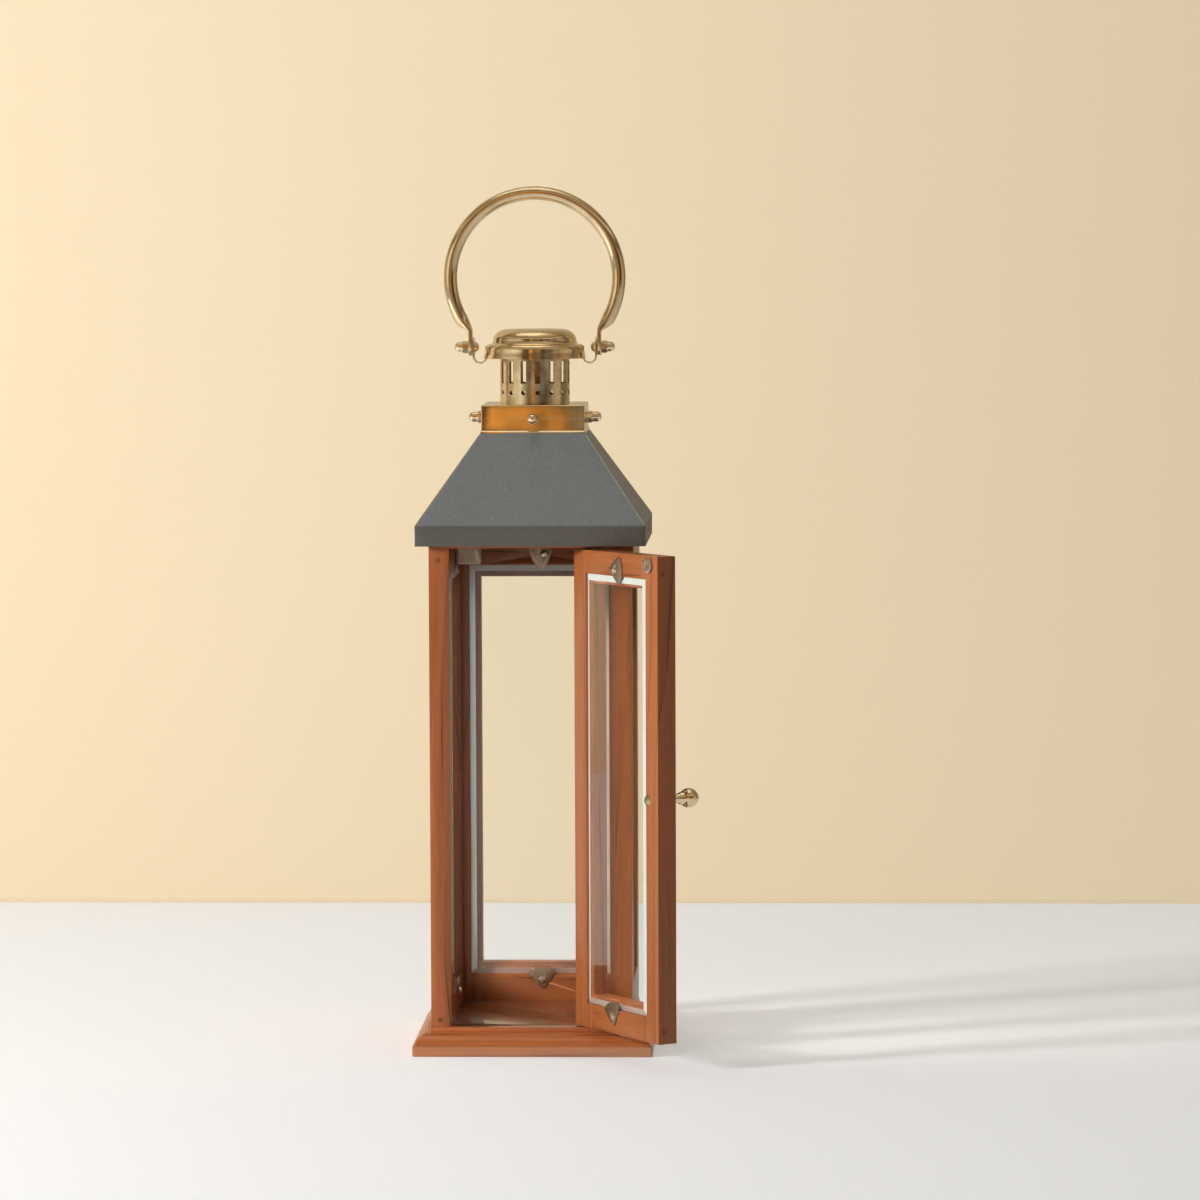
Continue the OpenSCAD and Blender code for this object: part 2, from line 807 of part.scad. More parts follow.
module door_rebate() {
    block([-door_rebate_x, door_inner - rebate_d, door_rebate_low],
        [door_rebate_x, door_inner + 1, door_rebate_high]);
}

module door_dowel(side, z) {
    x = side > 0 ? door_edge - door_dowel_len : -door_edge;
    pin_x([x, door_dowel_y, z], door_dowel_len, dowel_d);
}

module closed_dowels() {
    for (side = [-1, 1]) {
        door_dowel(side, door_low + door_dowel_bottom);
        door_dowel(side, door_high - door_dowel_top);
    }
}

module closed_pins() {
    pin_z([hinge_x, hinge_y, floor_z - pin_in_frame], pin_in_frame + door_floor_gap + pin_in_door, pin_d);
    pin_z([hinge_x, hinge_y, door_high - pin_in_door], pin_in_door + door_top_gap + pin_in_frame, pin_d);
}

module on_door(x, z) { translate([x, door_inner, z]) mirror([0, 1, 0]) children(); }
module door_clip_places() {
    on_door(door_edge - clip_door_top_x, door_rebate_high + clip_door_in) children();
    on_door(door_edge - clip_door_bottom_x, door_rebate_low - clip_door_in) children();
}

module door_stile_part(x_low, x_high) {
    difference() {
        block([x_low, door_face, door_low], [x_high, door_inner, door_high]);
        door_rebate();
        closed_dowels();
        closed_pins();
        pin_y([knob_x, door_face - 1, knob_z], door_t + 2, knob_screw_d);
        pin_y([strike_x, door_inner - strike_screw_len, strike_z],
            strike_screw_len + 1, strike_screw_d);
    }
}

module door_rail_part(z_low, z_high) {
    difference() {
        block([-door_clear_x, door_face, z_low], [door_clear_x, door_inner, z_high]);
        door_rebate();
        closed_dowels();
        door_clip_places() rotate([90, 0, 0])
            translate([0, 0, -clip_screw_len]) cylinder(h = clip_screw_len + 1, d = clip_screw_d);
    }
}

module door_hinge_stile() { color(door_wood) door_place() door_stile_part(door_clear_x, door_edge); }
module door_latch_stile() { color(door_wood) door_place() door_stile_part(-door_edge, -door_clear_x); }
module door_top_rail() {
    color(door_wood) door_place() door_rail_part(door_rebate_high - door_lip, door_high);
}
module door_bottom_rail() {
    color(door_wood) door_place() door_rail_part(door_low, door_rebate_low + door_lip);
}
module door_dowels() { color(wood) door_place() closed_dowels(); }
module door_pivot_pins() { color(steel) door_place() closed_pins(); }

module door_glass() {
    color(glass) door_place() translate([0, door_inner - rebate_d, 0]) mirror([0, 1, 0])
        pane(2 * (door_rebate_x - glass_play), door_rebate_low + glass_play, door_rebate_high - glass_play);
}

module door_top_clip() {
    color(steel) door_place()
        on_door(door_edge - clip_door_top_x, door_rebate_high + clip_door_in) turn_button(clip_door_top_turn);
}
module door_bottom_clip() {
    color(steel) door_place()
        on_door(door_edge - clip_door_bottom_x, door_rebate_low - clip_door_in)
            turn_button(clip_door_bottom_turn);
}
module door_clip_screws() { color(bright) door_place() door_clip_places() turn_screw(); }

module door_knob() {
    color(brass) door_place() translate([knob_x, door_face, knob_z]) rotate([90, 0, 0]) difference() {
        union() {
            cylinder(h = knob_plate_t, d = knob_foot_d + knob_plate_over);
            cylinder(h = knob_reach - knob_ball_cut, d1 = knob_foot_d, d2 = knob_neck_d);
            translate([0, 0, knob_reach]) sphere(d = knob_d, $fn = 96);
        }
        translate([0, 0, -eps]) cylinder(h = knob_thread + eps, d = knob_screw_d);
    }
}

module knob_screw() {
    color(steel) door_place() translate([knob_x, door_inner, knob_z]) rotate([-90, 0, 0])
        round_screw(knob_head_d, knob_head_h, knob_screw_d, door_t + knob_thread);
}

// The countersunk head of the strike's screw, or its seat in the disc
module strike_head(h) {
    grow = strike_screw_d / strike_head_h;
    translate([0, 0, strike_t - strike_head_h])
        cylinder(h = h, d1 = strike_screw_d, d2 = strike_screw_d + grow * h);
}

module strike_disc() {
    color(steel) door_place() translate([strike_x, door_inner, strike_z]) rotate([-90, 0, 0]) difference() {
        cylinder(h = strike_t, d = strike_d);
        translate([0, 0, -1]) cylinder(h = strike_t + 2, d = strike_screw_d);
        strike_head(strike_head_h + eps);
    }
}

module strike_screw() {
    color(steel) door_place() translate([strike_x, door_inner, strike_z]) rotate([-90, 0, 0]) {
        translate([0, 0, -strike_screw_len])
            cylinder(h = strike_screw_len + strike_t - strike_head_h + eps, d = strike_screw_d);
        strike_head(strike_head_h - eps);
    }
}

// ---- hood ----

module hood_battens() {
    color(wood) difference() {
        block([-batten_r, -batten_r, inner_fold_z - batten_h], [batten_r, batten_r, inner_fold_z]);
        block([-body_r, -body_r, inner_fold_z - 2 * batten_h], [body_r, body_r, inner_fold_z + 1]);
        hood_screw_holes();
    }
}

module hood_screw_places() {
    for (side = [-1, 1]) translate([side * skirt_r, 0, hood_screw_z]) rotate([0, side * 90, 0]) children();
}

module hood_screw_holes() {
    hood_screw_places() translate([0, 0, -hood_screw_len]) cylinder(h = hood_screw_len + 1, d = hood_screw_d);
}

module hood_screws() {
    color(steel) hood_screw_places() round_screw(2 * hood_screw_d, hood_head_h, hood_screw_d, hood_screw_len);
}

// The hood's section down to a low edge, with its faces drawn in by a thickness
module hood_outline(in, low) {
    neck_half = neck_r - in;
    run = in * slope_len;
    skirt_half = skirt_r - in;
    fold = fold_z + (skirt_r - run - skirt_half) / slope;
    foot = fold_z + (skirt_r - run - neck_half) / slope;
    polygon([[-skirt_half, low], [skirt_half, low], [skirt_half, fold], [neck_half, foot],
        [neck_half, neck_top + in], [-neck_half, neck_top + in], [-neck_half, foot], [-skirt_half, fold]]);
}

// A bead along one hip, from the corner of the skirt to the collar
module hip_bead() {
    dx = skirt_r - collar_r;
    len = sqrt(2 * dx * dx + hood_rise * hood_rise);
    translate([skirt_r - bead_sink, skirt_r - bead_sink, fold_z - bead_sink]) rotate([0, 0, 45])
        rotate([0, -atan2(sqrt(2) * dx, hood_rise), 0]) cylinder(h = len, d = bead_d);
}

module hood() {
    color(sheet) difference() {
        union() {
            crossed(skirt_w) hood_outline(0, skirt_low);
            intersection() {
                for (turn = [0:90:270]) rotate([0, 0, turn]) hip_bead();
                block([-skirt_w, -skirt_w, 0], [skirt_w, skirt_w, collar_z]);
            }
        }
        crossed(skirt_w) hood_outline(hood_t, skirt_low - 1);
        hood_screw_holes();
        collar_bolt_holes();
    }
}

// ---- collar ----

module collar_sides() {
    for (turn = [0:90:270]) rotate([0, 0, turn]) on_right(collar_r, bolt_z) children();
}

module collar_bolt_holes() {
    collar_sides() translate([0, 0, -far]) cylinder(h = 2 * far, d = bolt_d);
}

module collar() {
    color(copper) difference() {
        union() {
            block([-collar_r, -collar_r, collar_z - 1], [collar_r, collar_r, collar_top]);
            rim_r = collar_r + rim_over;
            block([-rim_r, -rim_r, collar_z - 1], [rim_r, rim_r, collar_z - 1 + rim_h]);
        }
        inner = collar_r - collar_t;
        block([-inner, -inner, collar_z - far], [inner, inner, collar_top - collar_t]);
        crossed(skirt_w) hood_outline(0, skirt_low);
        cylinder(h = 2 * collar_top, d = tube_d);
        collar_bolt_holes();
    }
}

module collar_bolts() {
    head_x = -(collar_r - neck_r) - hood_t;
    color(steel) collar_sides() {
        translate([0, 0, head_x]) cylinder(h = nut_thread - head_x - bolt_short, d = bolt_d);
        translate([0, 0, head_x]) mirror([0, 0, 1]) domed_head(bolt_head_d, bolt_head_h);
    }
}

module collar_cap_nuts() { color(brass) collar_sides() cap_nut(collar_nut_len); }

// ---- chimney and cap ----

module chimney_tube() {
    color(copper) difference() {
        union() {
            translate([0, 0, tube_foot]) cylinder(h = strap_low - tube_foot, r = tube_r, $fn = 128);
            translate([0, 0, tube_foot]) cylinder(h = tube_t, d = flange_d, $fn = 128);
        }
        translate([0, 0, tube_foot - 1]) cylinder(h = strap_low, r = tube_r - tube_t, $fn = 128);
        for (i = [0:slot_count - 1]) if (i != floor(slot_count / 2)) {
            rotate([0, 0, slot_turn + i * 360 / slot_count]) {
                block([-slot_w / 2, -tube_r - 1, collar_top + slot_up],
                    [slot_w / 2, -tube_r / 2, collar_top + slot_up + slot_len]);
                pin_y([0, -tube_r - 1, collar_top + vent_up], tube_r / 2, vent_d);
            }
        }
    }
}

// Half of a step's section: a cylinder with a round shoulder
module shoulder(r, low, high, round) {
    translate([0, low]) square([r, high - round - low]);
    translate([0, low]) square([r - round, high - low]);
    translate([r - round, high - round]) circle(round, $fn = 96);
}

module cap_outline(in, low) {
    shoulder(cap_r - in, low, brim_top - in, brim_round - in);
    shoulder(dome_d / 2 - in, brim_top - 4, dome_top - in, dome_round - in);
}

module cap() {
    color(bright) rotate_extrude($fn = 128) difference() {
        cap_outline(0, brim_low);
        cap_outline(cap_t, brim_low - 1);
    }
}

// ---- strap and bail ----

// The upper part of one side of the strap: half of the flat bar, the corner and the arm
module strap_arm() {
    difference() {
        union() {
            shoulder(arm_x, bend_z, strap_top, shoulder_r);
            translate([-1, bend_z]) square([2, strap_top - bend_z]);
        }
        translate([-2, 0]) square([3, strap_low]);
        shoulder(arm_x - strap_t, bend_z - 1, strap_low, strap_inner_r);
    }
}

// The lower part of one side of the strap: the bend and the ear
module strap_bend() {
    translate([bend_x, bend_z]) difference() {
        union() {
            circle(bend_r + strap_t);
            translate([-bend_r - strap_t, 0]) square([2 * (bend_r + strap_t), 2]);
        }
        circle(bend_r);
        translate([-bend_r, 0]) square([2 * bend_r, far]);
        translate([-far, 2]) square([2 * far, far]);
    }
    translate([ear_x, bend_z]) square([strap_t, pivot_z + ear_up - bend_z]);
}

module handle_strap() {
    ear_z = pivot_z + ear_up - strap_w / 2;
    color(copper) both_sides() difference() {
        intersection() {
            rotate([90, 0, 0]) linear_extrude(strap_w, center = true) {
                strap_arm();
                strap_bend();
            }
            union() {
                block([-1, -strap_w, 0], [ear_x + far, strap_w, ear_z]);
                block([-1, -strap_w, 0], [bend_x, strap_w, ear_z + far]);
                pin_x([0, 0, ear_z], ear_x + far, strap_w);
            }
        }
        pin_x([bend_x, 0, pivot_z], far, bolt_d);
    }
}

module bail_bolts() {
    color(steel) both_sides() on_right(ear_x, pivot_z) {
        cylinder(h = nut_x - ear_x + nut_thread - bolt_short, d = bolt_d);
        mirror([0, 0, 1]) domed_head(bolt_head_d, bolt_head_h);
    }
}

module bail_cap_nuts() { color(brass) both_sides() on_right(nut_x, pivot_z) cap_nut(bail_nut_len); }

// A point beside the ring's middle line, by its angle below the ring's middle
function ring_point(angle, out) =
    [(ring_r + out) * cos(angle), ring_z - (ring_r + out) * sin(angle)];

// One end of the bail in the XZ plane: the flat tongue and its swelling into the round bar
module bail_end_outline() {
    half = bar_d / 2 + 2 * swell_over;
    polygon([[tongue_x, pivot_z - tongue_w], [tongue_x + tongue_t, pivot_z - tongue_w],
        [tongue_x + tongue_t, pivot_z + tongue_up], ring_point(ring_end, half),
        ring_point(ring_end - swell_turn, half), ring_point(ring_end - swell_turn, -half),
        ring_point(ring_end, -half), [tongue_x, pivot_z + tongue_up]]);
}

// The round of one end: a cone from the tongue to the bar, and the tongue's own outline
module bail_end_round() {
    from = [tongue_x + tongue_t / 2, pivot_z + tongue_up];
    to = ring_point(ring_end - swell_turn, 0);
    run = to - from;
    translate([from[0], 0, from[1]]) rotate([0, atan2(run[0], run[1]), 0])
        cylinder(h = norm(run), r1 = tongue_w / 2 + swell_over, r2 = bar_d / 2 + swell_over);
    translate([tongue_x - 1, 0, pivot_z]) rotate([90, 0, 90]) linear_extrude(tongue_t + 2) {
        circle(tongue_w / 2);
        translate([-tongue_w / 2, 0]) square([tongue_w, tongue_up + 1]);
    }
}

module bail() {
    color(copper) difference() {
        union() {
            translate([0, 0, ring_z]) rotate([90, 0, 0]) rotate([0, 0, -ring_end])
                rotate_extrude(angle = 180 + 2 * ring_end, $fn = 128)
                    translate([ring_r, 0]) circle(d = bar_d);
            both_sides() intersection() {
                rotate([90, 0, 0]) linear_extrude(2 * tongue_w, center = true) bail_end_outline();
                bail_end_round();
            }
        }
        pin_x([-tongue_x - far, 0, pivot_z], 2 * (tongue_x + far), bolt_d + 2 * bail_bore_play);
    }
}

base_plinth();
floor_board();
base_screws();
left_front_stile();
left_back_stile();
left_bottom_rail();
left_top_rail();
right_front_stile();
right_back_stile();
right_bottom_rail();
right_top_rail();
back_left_stile();
back_right_stile();
back_bottom_rail();
back_top_rail();
front_header();
frame_dowels();
left_glass();
right_glass();
back_glass();
left_top_clip();
left_bottom_clip();
right_top_clip();
right_bottom_clip();
back_top_clip();
back_bottom_clip();
frame_clip_screws();
catch_housing();
catch_magnet();
catch_screws();
door_hinge_stile();
door_latch_stile();
door_top_rail();
door_bottom_rail();
door_dowels();
door_glass();
door_pivot_pins();
door_top_clip();
door_bottom_clip();
door_clip_screws();
door_knob();
knob_screw();
strike_disc();
strike_screw();
hood_battens();
hood();
hood_screws();
collar();
collar_bolts();
collar_cap_nuts();
chimney_tube();
handle_strap();
cap();
bail_bolts();
bail_cap_nuts();
bail();
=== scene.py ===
"""Candle lantern with a hinged glass door: every piece and its finish, made around the packed model."""

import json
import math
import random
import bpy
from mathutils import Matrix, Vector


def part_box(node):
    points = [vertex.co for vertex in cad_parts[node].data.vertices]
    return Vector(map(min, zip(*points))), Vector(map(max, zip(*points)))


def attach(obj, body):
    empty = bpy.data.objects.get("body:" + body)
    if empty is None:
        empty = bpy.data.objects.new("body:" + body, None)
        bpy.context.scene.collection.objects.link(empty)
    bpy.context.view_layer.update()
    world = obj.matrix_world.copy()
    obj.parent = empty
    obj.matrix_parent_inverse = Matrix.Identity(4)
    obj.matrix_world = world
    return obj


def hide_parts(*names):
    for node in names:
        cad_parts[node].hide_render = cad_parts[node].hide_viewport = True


bl_info = {
    "name": "Candle lantern",
    "version": (1, 0, 0),
    "blender": (4, 5, 0),
    "location": "View3D > Sidebar > Lantern",
    "description": "Wooden candle lantern with glass panes, a sheet-metal hood and a brass ring bail",
    "category": "Add Mesh",
}

import bmesh
import bpy
from bpy.props import FloatProperty, FloatVectorProperty, IntProperty, PointerProperty
from mathutils import Matrix, Vector, noise

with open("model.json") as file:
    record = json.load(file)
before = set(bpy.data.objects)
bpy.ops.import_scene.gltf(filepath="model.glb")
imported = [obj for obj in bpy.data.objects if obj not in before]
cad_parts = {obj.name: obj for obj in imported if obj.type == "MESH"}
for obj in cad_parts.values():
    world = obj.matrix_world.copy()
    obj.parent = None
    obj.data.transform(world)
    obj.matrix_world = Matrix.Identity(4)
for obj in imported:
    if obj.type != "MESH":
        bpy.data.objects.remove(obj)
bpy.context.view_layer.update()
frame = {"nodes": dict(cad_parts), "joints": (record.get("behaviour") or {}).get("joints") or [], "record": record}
NODES = frame["nodes"]
BODY_OF = {node: body for body, nodes in frame["record"]["behaviour"]["bodies"].items() for node in nodes}
JOINTS = {joint["name"]: joint for joint in frame["joints"]}

MM = 0.001
X, Y, Z = Vector((1, 0, 0)), Vector((0, 1, 0)), Vector((0, 0, 1))


# ---- places taken from the packed model ----

def low(node):
    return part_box(node)[0]


def high(node):
    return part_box(node)[1]


def middle(node):
    return (low(node) + high(node)) / 2


HINGE = Vector(JOINTS["door_hinge"]["pos_m"])
PIVOT = Vector(JOINTS["bail_swing"]["pos_m"])
DOOR_OPEN = -math.radians(JOINTS["door_hinge"]["range_deg"][0])
OPEN_DOOR = Matrix.Translation(HINGE) @ Matrix.Rotation(DOOR_OPEN, 4, "Z") @ Matrix.Translation(-HINGE)
SHUT_DOOR = OPEN_DOOR.inverted()

# Shared sizes: the plinth's lip, the hood's half width, the heights of its skirt, fold and neck, the neck's
# half width, the tube's foot and the buttons' sheet
PLINTH_LIP = 7.6 * MM
HOOD_EDGE, SKIRT_LOW, FOLD_Z, NECK_Z = 84.5 * MM, 375.5 * MM, 390.8 * MM, 457.3 * MM
NECK_HALF = 38.15 * MM
TUBE_FOOT_Z = 477.3 * MM
CLIP_THICK = 1.1 * MM

LAMPS_AIM = Vector((0, 0, 0.33))
LAMP_TINT, TOP_TINT = (1.0, 0.98, 0.95), (1.0, 0.99, 0.97)


# ---- sizes and colours that a user would change ----

def colour(name, description, default):
    return FloatVectorProperty(
        name=name, description=description, default=default, subtype="COLOR", size=3, min=0, max=1)


def length(name, description, default, least=0.0, most=10.0):
    return FloatProperty(
        name=name, description=description, default=default, min=least, max=most,
        unit="LENGTH", subtype="DISTANCE", precision=5)


def share(name, description, default):
    return FloatProperty(
        name=name, description=description, default=default, min=0, max=1, subtype="FACTOR")


def amount(name, description, default, least=0.0, most=1000.0):
    return FloatProperty(name=name, description=description, default=default, min=least, max=most)


class WoodSettings(bpy.types.PropertyGroup):
    """Colours and edges of the varnished wood"""

    frame_tone: colour("Frame tone", "Main colour of the frame and the base", (0.47, 0.140, 0.043))
    door_tone: colour("Door tone", "Main colour of the door", (0.445, 0.142, 0.044))
    dark_tone: colour("Dark tone", "Colour of the darker streaks", (0.19, 0.052, 0.017))
    # The line tone is also the colour that painted shade darkens faces towards.
    line_tone: colour("Line tone", "Colour of the growth lines", (0.075, 0.022, 0.008))
    ring_gap: length("Ring gap", "Distance between growth lines", 0.0125, 0.001, 0.05)
    arris: length("Edge round", "Radius of the outer edges", 0.0007, 0.0, 0.003)
    joint_arris: length("Joint round", "Radius of the edges where two boards meet", 0.00012, 0.0, 0.001)
    varnish: share("Varnish", "Weight of the clear varnish", 0.18)


class MetalSettings(bpy.types.PropertyGroup):
    """Colours of the metals"""

    brass: colour("Brass", "Colour of the polished brass", (0.78, 0.62, 0.38))
    brass_rough: share("Brass roughness", "Roughness of the polished brass", 0.13)
    screw: colour("Screw metal", "Colour of the screws", (0.66, 0.55, 0.44))
    button: colour("Button metal", "Colour of the dull turn buttons", (0.42, 0.31, 0.22))
    catch: colour("Catch metal", "Colour of the scratched catch", (0.30, 0.24, 0.19))
    panel_count: IntProperty(
        name="Chimney places", description="Places for slots round the chimney", default=15, min=5, max=30)


class HoodSettings(bpy.types.PropertyGroup):
    """Finish of the hood"""

    paint: colour("Paint", "Colour of the speckled paint", (0.216, 0.241, 0.261))
    fleck: colour("Fleck", "Colour of the lighter flecks", (0.36, 0.39, 0.41))
    fleck_size: length("Fleck size", "Size of a fleck in the paint", 0.0008, 0.0003, 0.01)
    dent: length("Dents", "Depth of the sheet's unevenness", 0.00018, 0.0, 0.001)


class GlassSettings(bpy.types.PropertyGroup):
    """Look of the panes"""

    clear: colour("Glass", "Colour of the clear glass", (0.97, 0.985, 0.975))
    ground: colour("Ground edge", "Colour of the ground bevel", (0.86, 0.95, 0.89))


class StageSettings(bpy.types.PropertyGroup):
    """Floor, wall, light and camera"""

    floor: colour("Floor", "Colour of the floor", (0.885, 0.90, 0.92))
    wall: colour("Wall", "Colour of the wall", (0.74, 0.62, 0.43))
    surround: colour("Surroundings", "Colour seen beside and behind the wall", (0.84, 0.74, 0.55))
    wall_back: length("Wall distance", "Distance of the wall behind the lantern", 0.8, 0.3, 5.0)
    key_power: amount("Key light", "Power of the key lamp in watts", 53.0)
    fill_power: amount("Fill light", "Power of the fill lamp in watts", 0.8)
    world_light: amount("World light", "Strength of the surroundings", 0.16)
    lens: amount("Lens", "Focal length in millimetres", 161.5, 10)


# ---- small tools ----

def in_mm(*rows):
    """Rows of numbers that are given in millimetres."""
    return [tuple(value * MM for value in row) for row in rows]


def new_object(name, data):
    made = bpy.data.objects.new(name, data)
    bpy.context.scene.collection.objects.link(made)
    return made


def object_from(name, bm):
    mesh = bpy.data.meshes.new(name)
    bm.to_mesh(mesh)
    bm.free()
    return new_object(name, mesh)


def object_of_points(name, points, faces=(), edges=()):
    mesh = bpy.data.meshes.new(name)
    mesh.from_pydata(points, edges, faces)
    mesh.update()
    return new_object(name, mesh)


def merged_copy(name, *nodes):
    """A copy of packed pieces with their loose triangles joined up and their flat faces whole."""
    bm = bmesh.new()
    for node in nodes:
        bm.from_mesh(NODES[node].data)
    bmesh.ops.remove_doubles(bm, verts=bm.verts, dist=0.002 * MM)
    bmesh.ops.dissolve_limit(bm, angle_limit=math.radians(0.3), verts=bm.verts, edges=bm.edges)
    for layer in list(bm.loops.layers.uv.values()):
        bm.loops.layers.uv.remove(layer)
    made = object_from(name, bm)
    made.data.materials.clear()
    return made


def keep_modifiers(piece):
    """Turns a piece and its modifiers into a plain mesh."""
    graph = bpy.context.evaluated_depsgraph_get()
    mesh = bpy.data.meshes.new_from_object(piece.evaluated_get(graph), depsgraph=graph)
    old = piece.data
    piece.modifiers.clear()
    piece.data = mesh
    bpy.data.meshes.remove(old)
    mesh.name = piece.name
    return piece


def rounded(piece, radius, segments=2, angle=30, weighted=False):
    """Rounds a piece's edges, all the sharp ones or the weighted ones."""
    bevel = piece.modifiers.new("round", "BEVEL")
    bevel.width, bevel.segments, bevel.angle_limit = radius, segments, math.radians(angle)
    bevel.limit_method = "WEIGHT" if weighted else "ANGLE"
    return keep_modifiers(piece)


def smooth(piece, angle=35):
    piece.data.shade_smooth()
    piece.data.set_sharp_from_angle(angle=math.radians(angle))
    return piece


def outwards(piece):
    """Merges what touches and points every face outwards."""
    bm = bmesh.new()
    bm.from_mesh(piece.data)
    bmesh.ops.remove_doubles(bm, verts=bm.verts, dist=0.001 * MM)
    bmesh.ops.recalc_face_normals(bm, faces=bm.faces)
    bm.to_mesh(piece.data)
    bm.free()
    return piece


def place(piece, matrix):
    piece.data.transform(matrix)
    piece.data.update()
    return piece


def finish(piece, material, slot, body, *nodes):
    """Gives a piece its material, its body and the packed pieces that it stands for."""
    if material is not None:
        piece.data.materials.clear()
        piece.data.materials.append(material)
    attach(piece, body)
    if nodes:
        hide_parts(*nodes)
    return piece


def rounded_copy(name, node, radius, angle, material, slot, body, smooth_angle=35):
    """Stands a copy with rounded edges in for a packed piece."""
    piece = rounded(merged_copy(name, node), radius, 2, angle)
    return finish(smooth(piece, smooth_angle), material, slot, body, node)


def dress_nodes(material, *nodes):
    """Gives packed pieces that stay in view a material of their own."""
    for node in nodes:
        NODES[node].data.materials.clear()
        NODES[node].data.materials.append(material)


def turned(name, profile, segments=96):
    """A lathe-turned shape from (radius, height) points. A point on the axis closes the shape there."""
    points, faces, rows = [], [], []
    for radius, height in profile:
        if radius < 0.001 * MM:
            rows.append([len(points)])
            points.append((0, 0, height))
            continue
        rows.append(list(range(len(points), len(points) + segments)))
        for i in range(segments):
            a = 2 * math.pi * i / segments
            points.append((radius * math.cos(a), radius * math.sin(a), height))
    closed = len(rows[0]) > 1 and len(rows[-1]) > 1
    pairs = list(zip(rows, rows[1:])) + ([(rows[-1], rows[0])] if closed else [])
    for first, second in pairs:
        for i in range(segments):
            corners = [first[i % len(first)], first[(i + 1) % len(first)],
                       second[(i + 1) % len(second)], second[i % len(second)]]
            faces.append(list(dict.fromkeys(corners)))
    return outwards(object_of_points(name, points, faces))


def arc(centre, radius, start, end, steps):
    """Points on an arc in the plane, angles in degrees."""
    turns = [math.radians(start + (end - start) * i / steps) for i in range(steps + 1)]
    return [(centre[0] + radius * math.cos(t), centre[1] + radius * math.sin(t)) for t in turns]


def square_ring(half, corner, height, steps, corner_steps):
    """Points round a square with rounded corners. A corner radius of half the width gives a circle."""
    corner = min(corner, half)
    ring = []
    for quarter in range(4):
        turn = Matrix.Rotation(quarter * math.pi / 2, 2)
        flat = half - corner
        for i in range(steps):
            ring.append(turn @ Vector((half, -flat + 2 * flat * i / steps)))
        for x, y in arc((flat, flat), corner, 0, 90, corner_steps)[:-1]:
            ring.append(turn @ Vector((x, y)))
    return [(p.x, p.y, height) for p in ring]


def ring_faces(rows, count, ends=False):
    """Faces between rings of points that are listed one after another, and over the first and last ring."""
    faces = [(row * count + i, row * count + (i + 1) % count, (row + 1) * count + (i + 1) % count,
              (row + 1) * count + i) for row in range(rows - 1) for i in range(count)]
    if ends:
        faces += [tuple(reversed(range(count))), tuple(range((rows - 1) * count, rows * count))]
    return faces


def square_loft(name, levels, steps, corner_steps, hollow=True):
    """A skin through square rings of (half width, corner radius, height), hollow or closed at its ends."""
    if hollow:
        levels = levels + levels[:1]
    count = 4 * (steps + corner_steps)
    points = [p for level in levels for p in square_ring(*level, steps, corner_steps)]
    return outwards(object_of_points(name, points, ring_faces(len(levels), count, not hollow)))


# ---- materials ----

def show(tree, result):
    """Makes a shader what the material or the world shows."""
    out = next(node for node in tree.nodes if node.type.startswith("OUTPUT"))
    tree.links.new(result, out.inputs["Surface"])


def material_named(name):
    made = bpy.data.materials.new(name)
    made.use_nodes = True
    tree = made.node_tree
    tree.nodes.clear()
    tree.nodes.new("ShaderNodeOutputMaterial")
    shader = tree.nodes.new("ShaderNodeBsdfPrincipled")
    show(tree, shader.outputs[0])
    return made, tree, shader


def feed(tree, socket, value):
    if isinstance(value, bpy.types.NodeSocket):
        tree.links.new(value, socket)
    else:
        socket.default_value = (*value, 1) if socket.type == "RGBA" else value


def fill(tree, node, inputs):
    for key, value in inputs.items():
        feed(tree, node.inputs[key], value)


def add(tree, kind, inputs=None, output=0, **settings):
    """Adds a node, sets its settings and inputs, and returns one of its outputs."""
    made = tree.nodes.new(kind)
    for key, value in settings.items():
        setattr(made, key, value)
    fill(tree, made, inputs or {})
    return made.outputs[output]


def maths(tree, operation, a, b=0.0, c=0.0):
    return add(tree, "ShaderNodeMath", {0: a, 1: b, 2: c}, operation=operation)


def times(tree, a, b):
    return maths(tree, "MULTIPLY", a, b)


def vectors(tree, operation, a, b=(0, 0, 0), c=(0, 0, 0), output=0):
    return add(tree, "ShaderNodeVectorMath", {0: a, 1: b, 2: c}, output=output, operation=operation)


def stretched(tree, where, size):
    return vectors(tree, "MULTIPLY", where, size)


def toned(tone, factor):
    """A colour made lighter or darker."""
    return tuple(min(1.0, c * factor) for c in tone)


def between(tree, factor, a, b):
    """Mixes two colours."""
    return add(tree, "ShaderNodeMix", {0: factor, 6: a, 7: b}, output=2, data_type="RGBA")


def layered(tree, base, *layers):
    """Lays colours over a base one after another. Each layer is a weight and a colour."""
    for weight, tone in layers:
        base = between(tree, weight, base, tone)
    return base


def span(tree, value, low_in, high_in, low_out=0.0, high_out=1.0):
    """Maps one range of values to another, held at its ends."""
    return add(tree, "ShaderNodeMapRange", {
        "Value": value, "From Min": low_in, "From Max": high_in, "To Min": low_out, "To Max": high_out})


def ramp(tree, value, stops):
    """Maps a value to a colour through stops of (position, colour), the two ends first."""
    made = tree.nodes.new("ShaderNodeValToRGB")
    made.color_ramp.interpolation = "EASE"
    elements = made.color_ramp.elements
    for i, (spot, tone) in enumerate(stops):
        element = elements[i] if i < 2 else elements.new(spot)
        element.position = spot
        element.color = (*tone, 1)
    feed(tree, made.inputs[0], value)
    return made.outputs[0]


def cloud(tree, where, scale, detail=2.0, rough=0.5, output=0):
    """Noise with one scale, or with one for each axis."""
    if isinstance(scale, tuple):
        where, scale = stretched(tree, where, scale), 1.0
    return add(tree, "ShaderNodeTexNoise",
               {"Vector": where, "Scale": scale, "Detail": detail, "Roughness": rough}, output=output)


